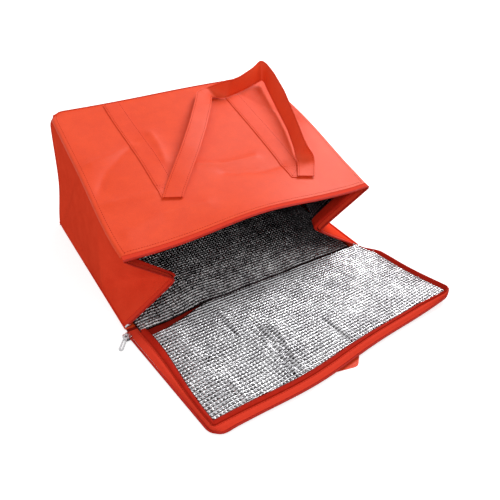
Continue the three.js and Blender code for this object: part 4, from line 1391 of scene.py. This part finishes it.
FRONT_STRAP_X = {-1: -77.0, 1: 99.0}
FRONT_FOLD = {-1: 61.0, 1: 38.0}
FRONT_FOLD_SLANT = -3.6
BACK_FOLD = 62.0
STRAP_END_MARGIN = 4.0
LOOP_ROOT_GAP = 0.6
# How much thinner a strap is at its folded edges
STRAP_THIN = 0.25
STITCH_MARGIN = 2.2
STITCH_END = 1.5
BOX_FROM_FOLD = 3.0
# The least and greatest width of a drawn loop, and how far its sections may slant
STRAP_WIDTHS = (0.95 * STRAP_WIDTH, 1.3 * STRAP_WIDTH)
LEAST_SQUARE = 0.6


def ribbon(edges, face_out, count, passes):
    """A strap's sections between two edge lines: middle, half width, face and total length."""
    edges = np.asarray(edges, float)
    steps = np.linalg.norm(np.diff(edges.mean(axis=1), axis=0), axis=1)
    run = np.concatenate([[0], np.cumsum(steps)])
    even = np.linspace(0, run[-1], count)
    sections = np.stack([
        np.stack([np.interp(even, run, edges[:, e, k]) for k in range(3)], -1) for e in (0, 1)
    ], 1)
    for _ in range(passes):
        sections[1:-1] = (sections[:-2] + 2 * sections[1:-1] + sections[2:]) / 4
    place = sections.mean(axis=1)
    ahead = unit(np.gradient(place, axis=0))
    across = unit(sections[:, 1] - sections[:, 0])
    out = unit(np.cross(ahead, across))
    if np.sum(out[0] * face_out) < 0:
        out = -out
    square = across - ahead * np.sum(across * ahead, axis=1, keepdims=True)
    # It keeps its width, but for the longer edge of a mitred fold
    square = np.linalg.norm(square, axis=1, keepdims=True)
    given = np.linalg.norm(sections[:, 1] - sections[:, 0], axis=1, keepdims=True)
    wide = np.clip(given * square, *STRAP_WIDTHS)
    half = wide / 2 / np.maximum(square, LEAST_SQUARE)
    length = np.sum(np.linalg.norm(np.diff(place, axis=0), axis=1))
    return place, across * half, out, length


def strap_grids(place, width, out):
    """The two faces of a strap, a little fuller along its middle than at its folded edges."""
    share = np.linspace(-1, 1, 9)[None, :, None]
    middle = place[:, None] + width[:, None] * share
    puff = STRAP_THICK / 2 - STRAP_THIN * share ** 4
    return middle + out[:, None] * puff, middle - out[:, None] * puff


def edge_stitches(place, width, out, height):
    """Stitch lines along both edges of a strap, on both of its faces."""
    inset = 1 - STITCH_MARGIN / (STRAP_WIDTH / 2)
    lines = []
    for edge in (-inset, inset):
        for face in (1, -1):
            lines.append((place + width * edge + face * height * out, face * out))
    return lines


def sewn_strap(name, wall, x, start, slant, node, body, stitches):
    """A strap sewn flat on a wall, with edge stitches and a boxed cross near its free end."""
    share = np.linspace(-1, 1, 9)[None, :]
    end = PANEL_LENGTH - STRAP_END_MARGIN
    past = np.linspace(0, 1, round((end - start) / CLOTH_PITCH) + 1)[:, None]
    rows = mix(start + slant * share, end, past)
    xs = x + share * STRAP_WIDTH / 2
    top = SEWN_STRAP[1] - STRAP_THIN * share ** 4
    faces = [wall(xs, rows, out) for out in (top, SEWN_STRAP[0])]
    ride_as(slab(name, *faces, STRAP_RED), body, "strap_cloth", node)
    edge = STRAP_WIDTH / 2 - STITCH_MARGIN
    low, high = start + BOX_FROM_FOLD, start + BOX_FROM_FOLD + 2 * edge
    box = [(-edge, low), (edge, low), (edge, high), (-edge, high)]
    lines = [((side, low), (side, end - STITCH_END)) for side in (-edge, edge)]
    lines += [(box[a], box[b]) for a, b in ((0, 1), (0, 2), (1, 3), (3, 2))]
    for (x0, row0), (x1, row1) in lines:
        t = np.linspace(0, 1, max(14, round(abs(row1 - row0) / 4)))
        off, row = mix(x0, x1, t), mix(row0, row1, t)
        row = row + slant * off / edge * (1 - row / end)
        stitches[body].append(line_on(wall, x + off, row, SEWN_STRAP[1] - STITCH_HEIGHT))


# Both edges of the front loop, each as across, distance from the mouth and height over the cloth:
# the left leg lies on the wall, then the strap rolls up on its edge and folds over at its top
FRONT_LOOP = (
    ((-64.8, 57.3, 2.4), (-89.3, 64.7, 2.4)), ((-58.0, 67.0, 4.4), (-80.0, 77.5, 3.6)),
    ((-45.0, 84.9, 8.0), (-60.6, 98.2, 9.0)), ((-17.0, 120.7, 14.0), (-30.5, 132.8, 16.0)),
    ((12.7, 160.6, 17.0), (1.2, 172.8, 19.0)), ((41.7, 200.3, 15.0), (29.0, 213.5, 16.0)),
    ((60.0, 226.0, 8.0), (47.0, 246.0, 8.0)), ((66.5, 230.0, 4.0), (58.5, 252.0, 6.5)),
    ((74.0, 228.0, 3.0), (63.0, 253.0, 5.5)), ((82.0, 225.3, 2.5), (68.0, 253.2, 5.5)),
    ((84.0, 225.4, 2.6), (70.5, 252.6, 7.5)), ((90.0, 227.0, 2.8), (87.0, 236.5, 26.0)),
    ((102.0, 230.5, 3.0), (97.2, 235.0, 27.0)), ((121.2, 235.9, 3.5), (113.1, 240.9, 26.6)),
    ((148.5, 243.4, 5.0), (141.8, 253.1, 27.1)), ((157.5, 246.8, 6.0), (155.5, 261.0, 29.5)),
    ((160.8, 246.3, 6.0), (161.0, 264.5, 31.5)), ((160.0, 241.0, 6.0), (166.5, 256.0, 30.5)),
    ((155.2, 221.5, 5.5), (166.4, 230.4, 28.8)), ((145.9, 182.1, 4.5), (159.5, 189.2, 27.1)),
    ((131.8, 129.6, 3.5), (138.2, 125.5, 27.3)), ((121.1, 96.5, 3.0), (126.9, 87.7, 25.7)),
    ((115.5, 80.5, 3.4), (123.6, 68.5, 21.5)), ((111.1, 67.1, 4.6), (129.5, 58.0, 9.5)),
    ((105.5, 58.0, 4.2), (127.6, 50.0, 6.0)), ((93.8, 39.6, 3.0), (116.4, 32.2, 3.0)),
)

# Both edges of the back loop, as x and y on the floor
BACK_LOOP = (
    ((-78.5, 61.4), (-103.5, 61.4)), ((-74.5, 44.0), (-98.0, 36.0)),
    ((-23.0, -128.0), (-46.5, -136.5)), ((-16.0, -148.5), (-29.0, -171.5)),
    ((11.5, -154.0), (22.8, -182.2)), ((30.0, -137.0), (48.6, -154.0)),
    ((37.0, -118.0), (61.0, -125.0)), ((67.0, 36.0), (91.0, 44.0)),
    ((72.5, 61.4), (97.5, 61.4)),
)


def build_straps(stitches):
    """Gives the lengths of the two loops."""
    lengths = {}
    for side, name in SIDE_NAMES.items():
        for where, wall, x, start, slant, body in (
            ("front", front_wall, FRONT_STRAP_X[side], FRONT_FOLD[side], FRONT_FOLD_SLANT,
             "front_wall"),
            ("back", back_wall, BACK_CENTRE_X + side * STRAP_SPACING / 2,
             BACK_FOLD + LOOP_ROOT_GAP, 0.0, "bag_body"),
        ):
            sewn_strap(
                f"{where}_sewn_strap_{name}", wall, x, start, slant, f"{where}_strap_{name}", body,
                stitches,
            )
    front_edges = [[front_wall(*place) for place in pair] for pair in FRONT_LOOP]
    back_edges = [[(*place, STRAP_THICK / 2) for place in pair] for pair in BACK_LOOP]
    # Where it is, its edges and face, its count of sections, smoothing passes and stitch height
    for where, edges, way, count, passes, height in (
        ("front", front_edges, FRONT_NORMAL, 260, 4, 0.42),
        ("back", back_edges, np.array([0.0, 0.0, 1.0]), 240, 3, 0.3),
    ):
        place, width, out, lengths[where] = ribbon(edges, way, count, passes)
        loop = slab(f"{where}_loop_strap", *strap_grids(place, width, out), STRAP_RED)
        ride_as(loop, f"{where}_handle", "strap_cloth", f"{where}_handle_loop")
        stitches[f"{where}_handle"] += edge_stitches(place, width, out, height)
    return lengths


# ---- Zip slider and pull tab

SLIDER_LENGTH = 9.0
SLIDER_HALF = 4.6
SLIDER_INSIDE = COIL_THICK + 2 * GAP
SLIDER_TOP = 2 * PLATE_THICK + SLIDER_INSIDE
WEB_HALF = 0.6
CROWN_HEIGHT = 3.6
CROWN_THICK = 0.8
TAB_LENGTH = 23.0
TAB_HALF = 2.7
TAB_THICK = 1.0
# Which way the tab hangs, and how far it drops, in degrees
TAB_AZIMUTH = 229
TAB_DROP = 11
UP = np.array([0.0, 0.0, 1.0])

# The crown from the side, one half of the tab's outline and the tab's eye: along and aside
CROWN_SIDE = (
    (-2.7, -0.3), (-2.7, 2.3), (-2.3, 3.2), (-1.4, CROWN_HEIGHT), (1.4, CROWN_HEIGHT), (2.3, 3.2),
    (2.7, 2.3), (2.7, -0.3), (1.9, -0.3), (1.9, 2.1), (1.6, 2.6), (1.1, 2.8), (-1.1, 2.8),
    (-1.6, 2.6), (-1.9, 2.1), (-1.9, -0.3),
)
TAB_SIDE = ((-0.45, 1.9), (0.4, TAB_HALF), (4.6, TAB_HALF), (6.4, 2.2), (17.0, 2.4))
TAB_EYE = ((0.5, -1.8), (0.5, 1.8), (4.2, 1.6), (4.9, 0.8), (4.9, -0.8), (4.2, -1.6))


def outline_mesh(name, outlines, thick, bevel):
    """A flat plate with rounded edges, filled between its outlines."""
    curve = bpy.data.curves.new(name, "CURVE")
    curve.dimensions = "2D"
    curve.fill_mode = "BOTH"
    curve.extrude = thick / 2 - bevel
    curve.bevel_depth = bevel
    curve.bevel_resolution = 3
    for outline in outlines:
        spline = curve.splines.new("POLY")
        spline.points.add(len(outline) - 1)
        for point, (x, y) in zip(spline.points, outline):
            point.co = (x, y, 0, 1)
        spline.use_cyclic_u = True
    holder = new_object(name, curve)
    mesh = worked_mesh(holder)
    bpy.data.objects.remove(holder)
    tidy = bmesh.new()
    tidy.from_mesh(mesh)
    bmesh.ops.remove_doubles(tidy, verts=tidy.verts, dist=0.005)
    bmesh.ops.recalc_face_normals(tidy, faces=tidy.faces)
    tidy.to_mesh(mesh)
    tidy.free()
    return mesh


def metal_part(name, parts):
    """Plates made in mm round their own origins, each moved to its place and axes, as one piece."""
    both = bmesh.new()
    for outlines, thick, bevel, origin, axes in parts:
        mesh = outline_mesh(name, outlines, thick, bevel)
        turn = Matrix([[*(axis[k] for axis in axes), 0] for k in range(3)] + [[0, 0, 0, 1]])
        mesh.transform(Matrix.Scale(0.001, 4) @ turn)
        mesh.transform(Matrix.Translation(Vector(to_frame(origin))))
        both.from_mesh(mesh)
    mesh = bpy.data.meshes.new(name)
    both.to_mesh(mesh)
    both.free()
    return finish_mesh(name, mesh, METAL, METAL_SHARP_ANGLE)


def racetrack(x0, x1, half):
    """A slot outline with round ends."""
    turn = np.linspace(-math.pi / 2, math.pi / 2, 10)
    points = [(x1 + half * math.cos(a), half * math.sin(a)) for a in turn]
    return points + [(x0 - half * math.cos(a), -half * math.sin(a)) for a in turn]


def build_slider():
    start = lid_wall(0.0, 0.0, -LID_UNDER)
    start[2] = 0.0
    travel = unit(np.array([*(HINGE_LEFT + LEFT_RUN), 0.0]) - start)
    across = np.array([-travel[1], travel[0], 0.0])
    middle = start - across * (GAP + 0.6)
    axes = (travel, across, UP)

    # Two plates with a shared nose, a web between them and folded-in side lips
    half = SLIDER_LENGTH / 2
    plate = [(half - 1.6 * abs(a) ** 2.6, SLIDER_HALF * a) for a in np.linspace(-1, 1, 13)]
    plate += [(-half + 0.5 * a ** 2, 0.86 * SLIDER_HALF * a) for a in np.linspace(1, -1, 9)]
    parts = [
        ([plate], PLATE_THICK, 0.28, middle + UP * height, axes)
        for height in (PLATE_THICK / 2, SLIDER_TOP - PLATE_THICK / 2)
    ]
    parts.append((
        [racetrack(-0.5, 3.2, WEB_HALF)], SLIDER_INSIDE + 0.6, 0.1, middle + UP * SLIDER_TOP / 2,
        axes,
    ))
    for side in (-1, 1):
        for low, high in ((0.9, 1.75), (0.25 + SLIDER_INSIDE, 1.1 + SLIDER_INSIDE)):
            place = middle + across * side * (SLIDER_HALF - 0.55) + UP * (low + high) / 2
            parts.append(([racetrack(-3.2, 2.2, 0.35)], high - low, 0.2, place, axes))

    # The crown over the top plate holds the tab's eye
    azimuth, drop = math.radians(TAB_AZIMUTH), math.radians(TAB_DROP)
    away = np.array([math.cos(azimuth), math.sin(azimuth), 0.0])
    hinge = np.cross(away, UP)
    axes = (unit(np.cross(UP, hinge)), UP, hinge)
    parts.append(([CROWN_SIDE], 2 * CROWN_THICK, 0.22, middle + UP * SLIDER_TOP, axes))
    ride_as(metal_part("slider_body", parts), "slider", "zip_metal", "zip_slider")

    # The tab: an eye on the crown, a waist and a round end with a slot
    end = [
        (TAB_LENGTH - TAB_HALF + TAB_HALF * math.cos(a), TAB_HALF * math.sin(a))
        for a in np.linspace(-1.35, 1.35, 11)
    ]
    outline = [(x, -y) for x, y in TAB_SIDE] + end + list(TAB_SIDE[::-1])
    droop = away * math.cos(drop) - UP * math.sin(drop)
    pin = middle + UP * (SLIDER_TOP + CROWN_HEIGHT - CROWN_THICK - GAP - TAB_THICK / 2)
    tab = (
        [outline, TAB_EYE, racetrack(8.2, 20.0, 1.15)], TAB_THICK, 0.25, pin,
        (droop, -hinge, np.cross(droop, -hinge)),
    )
    ride_as(metal_part("pull_tab", [tab]), "pull", "zip_metal", "zip_pull")


# ---- Assembly

STITCH_PITCH = 3.3
STITCH_SIZE = (2.7, 0.55, 0.4)
TURN_PITCH = 1.45
TURN_SIZE = (0.95, 2.6, 0.9)
# Rows of stitches: how far they keep from the ends and edges of the cloth
HEM_STITCH_ROW = 4.0
HEM_STITCH_END = 6.0
SEAM_STITCH_IN = 5.0
SEAM_STITCH_END = 3.0
BASE_STITCH_HEIGHTS = (5.5, SEAM_Z - 4.0)
BASE_STITCH_WIDTH_AT = 165.0


def stitch_walls(stitches):
    """Hem and seam stitches on the front wall and the base."""
    low, high = (front_edge(side, 0.0) - side * HEM_STITCH_END for side in (-1, 1))
    x = np.linspace(low, high, 170)
    stitches["front_wall"].append(line_on(front_wall, x, HEM_STITCH_ROW, STITCH_HEIGHT))
    row = np.linspace(SEAM_STITCH_END, PANEL_LENGTH - SEAM_STITCH_END, 130)
    for side in (-1, 1):
        x = front_edge(side, row) - side * SEAM_STITCH_IN
        stitches["front_wall"].append(line_on(front_wall, x, row, STITCH_HEIGHT))
    low, high = (
        base_edge(side, BASE_STITCH_WIDTH_AT) - side * SEAM_STITCH_IN for side in (-1, 1)
    )
    x = np.linspace(low, high, 150)
    for height in BASE_STITCH_HEIGHTS:
        stitches["bag_body"].append(line_on(base_wall, x, height, STITCH_HEIGHT))


stitches = {
    body: [] for body in ("bag_body", "front_wall", "lid", "front_handle", "back_handle", "gusset")
}
teeth = {body: [] for body in ("front_wall", "lid", "gusset")}
build_shell()
build_lining()
build_mouth(stitches, teeth)
build_lid(stitches, teeth)
loop_lengths = build_straps(stitches)
build_slider()
stitch_walls(stitches)
for lines, kind, slot, settings in (
    (stitches, "stitches", "strap_cloth", (STITCH_PITCH, STITCH_SIZE, 6, 5, THREAD_RED)),
    (teeth, "coil_turns", "zip_coil", (TURN_PITCH, TURN_SIZE, 8, 6, COIL_RED)),
):
    for body, paths in lines.items():
        name = "gusset_mouth" if body == "gusset" else body
        ride_as(along_paths(f"{name}_{kind}", paths, *settings), body, slot)


# ---- Each sheet's flat size, how it is held and what it rests on, listed but not kept

def declare_sheets(rows):
    """Each row: name, flat size, how it is held, what it rests on."""
    for name, *flat, held, rests_on in rows:
        metres(*flat)
        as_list(rests_on)


def declare():
    sides = SIDE_NAMES.values()
    declare_sheets([
        ("front_cloth", WIDTH, PANEL_LENGTH, "draped",
         ["left_gusset_cloth", "right_gusset_cloth", "base_cloth"]),
        ("back_cloth", WIDTH, PANEL_LENGTH, "laid",
         ["back_sewn_strap_left", "back_sewn_strap_right"]),
        ("base_cloth", WIDTH, BASE_DEPTH, "stretched", ["stiff_board"]),
        *((f"{name}_gusset_cloth", BASE_DEPTH, PANEL_LENGTH, "folded",
           ["base_cloth", "back_cloth"]) for name in sides),
    ])
    declare_sheets([
        ("front_mouth_hem_piece", WIDTH, HEM_WIDTH, "stretched", ["front_foil"]),
        *((f"{name}_mouth_hem_piece", BASE_DEPTH, HEM_WIDTH, "folded",
           [f"{name}_gusset_foil"]) for name in sides),
        ("lid_cloth", WIDTH, BASE_DEPTH, "laid", ["lid_tape"]),
        ("lid_tape", LID_TAPE_WIDTH, RIM_END + ZIP_START, "laid", ["lid_cloth"]),
        ("hinge_cloth", HINGE_WIDTH, WIDTH, "folded", ["back_cloth"]),
    ])
    for where, held, folds in (
        ("front", "folded", FRONT_FOLD), ("back", "laid", dict.fromkeys(SIDE_NAMES, BACK_FOLD)),
    ):
        declare_sheets([
            *((f"{where}_sewn_strap_{name}", STRAP_WIDTH,
               PANEL_LENGTH - STRAP_END_MARGIN - folds[side], "stretched",
               [f"{where}_cloth"]) for side, name in SIDE_NAMES.items()),
            (f"{where}_loop_strap", STRAP_WIDTH, loop_lengths[where], held,
             [f"{where}_sewn_strap_{name}" for name in sides]),
        ])


declare()


# ---- Camera, floor and light

# Fitted to the photo
AZIMUTH, ELEVATION, ROLL = (math.radians(v) for v in (-31.67743533, 34.95451707, 1.09931255))
DISTANCE = 788.90518731
TARGET = np.array([20.74236451, 47.17450747, 18.47286427])
FOCAL_PIXELS, IMAGE_PIXELS = 580, 500
SENSOR_WIDTH = 36.0
FLOOR_HALF = 6.0
FLOOR_GLOW = 0.62
# How bright the world is for what it lights, and as it is seen or mirrored
WORLD_LIGHT, WORLD_SEEN = 0.56, 1.0
LIGHTS = (
    # name, place, size, energy
    ("key_light", (1.3, 0.5, 1.45), 0.8, 28.0), ("fill_light", (-1.1, -1.4, 1.2), 1.4, 13.0),
)
LIT_PLACE = Vector((0, 0, 0.05))


def make_camera():
    data = bpy.data.cameras.new("camera")
    data.sensor_width = SENSOR_WIDTH
    data.lens = SENSOR_WIDTH * FOCAL_PIXELS / IMAGE_PIXELS
    data.clip_start, data.clip_end = 0.01, 20.0
    back = np.array([
        math.sin(AZIMUTH) * math.cos(ELEVATION), -math.cos(AZIMUTH) * math.cos(ELEVATION),
        math.sin(ELEVATION),
    ])
    level = unit(np.cross(-back, UP))
    square = np.cross(level, -back)
    right = level * math.cos(ROLL) + square * math.sin(ROLL)
    up = square * math.cos(ROLL) - level * math.sin(ROLL)
    columns = [right, up, back, to_frame(TARGET + back * DISTANCE)]
    rows = [[float(column[k]) for column in columns] for k in range(3)]
    camera = new_object("camera", data)
    camera.matrix_world = Matrix([*rows, [0, 0, 0, 1]])
    bpy.context.scene.camera = camera


def make_floor():
    mesh = bpy.data.meshes.new("studio_floor")
    corners = [(FLOOR_HALF * x, FLOOR_HALF * y, 0) for x, y in ((-1, -1), (1, -1), (1, 1), (-1, 1))]
    mesh.from_pydata(corners, [], [(0, 1, 2, 3)])
    material, tree, shader = new_material("matt_white_paper")
    seen = add_node(tree, "LightPath", output="Is Camera Ray")
    feed(tree, shader, {
        "Base Color": linear("#dcdcdc"), "Roughness": 0.9, "Specular IOR Level": 0.1,
        "Emission Color": (1, 1, 1, 1),
        "Emission Strength": add_node(tree, "Math", (seen, FLOOR_GLOW), operation="MULTIPLY"),
    })
    mesh.materials.append(material)
    new_object("studio_floor", mesh)


def make_light():
    world = bpy.data.worlds.new("studio")
    bpy.context.scene.world = world
    world.use_nodes = True
    tree = world.node_tree
    rays = add_node(tree, "LightPath", output=None).outputs
    direct = (rays["Is Camera Ray"], rays["Is Glossy Ray"])
    direct = add_node(tree, "Math", direct, operation="MAXIMUM")
    strength = add_node(tree, "MapRange", (direct, 0.0, 1.0, WORLD_LIGHT, WORLD_SEEN))
    feed(tree, tree.nodes["Background"], {"Color": (1, 1, 1, 1), "Strength": strength})
    for name, place, size, energy in LIGHTS:
        data = bpy.data.lights.new(name, "AREA")
        data.shape = "DISK"
        data.size = size
        data.energy = energy
        lamp = new_object(name, data)
        lamp.location = place
        lamp.visible_glossy = name == "key_light"
        lamp.rotation_mode = "QUATERNION"
        lamp.rotation_quaternion = (LIT_PLACE - Vector(place)).to_track_quat("-Z", "Y")


make_camera()
make_floor()
make_light()
bpy.context.scene.view_settings.view_transform = "Standard"
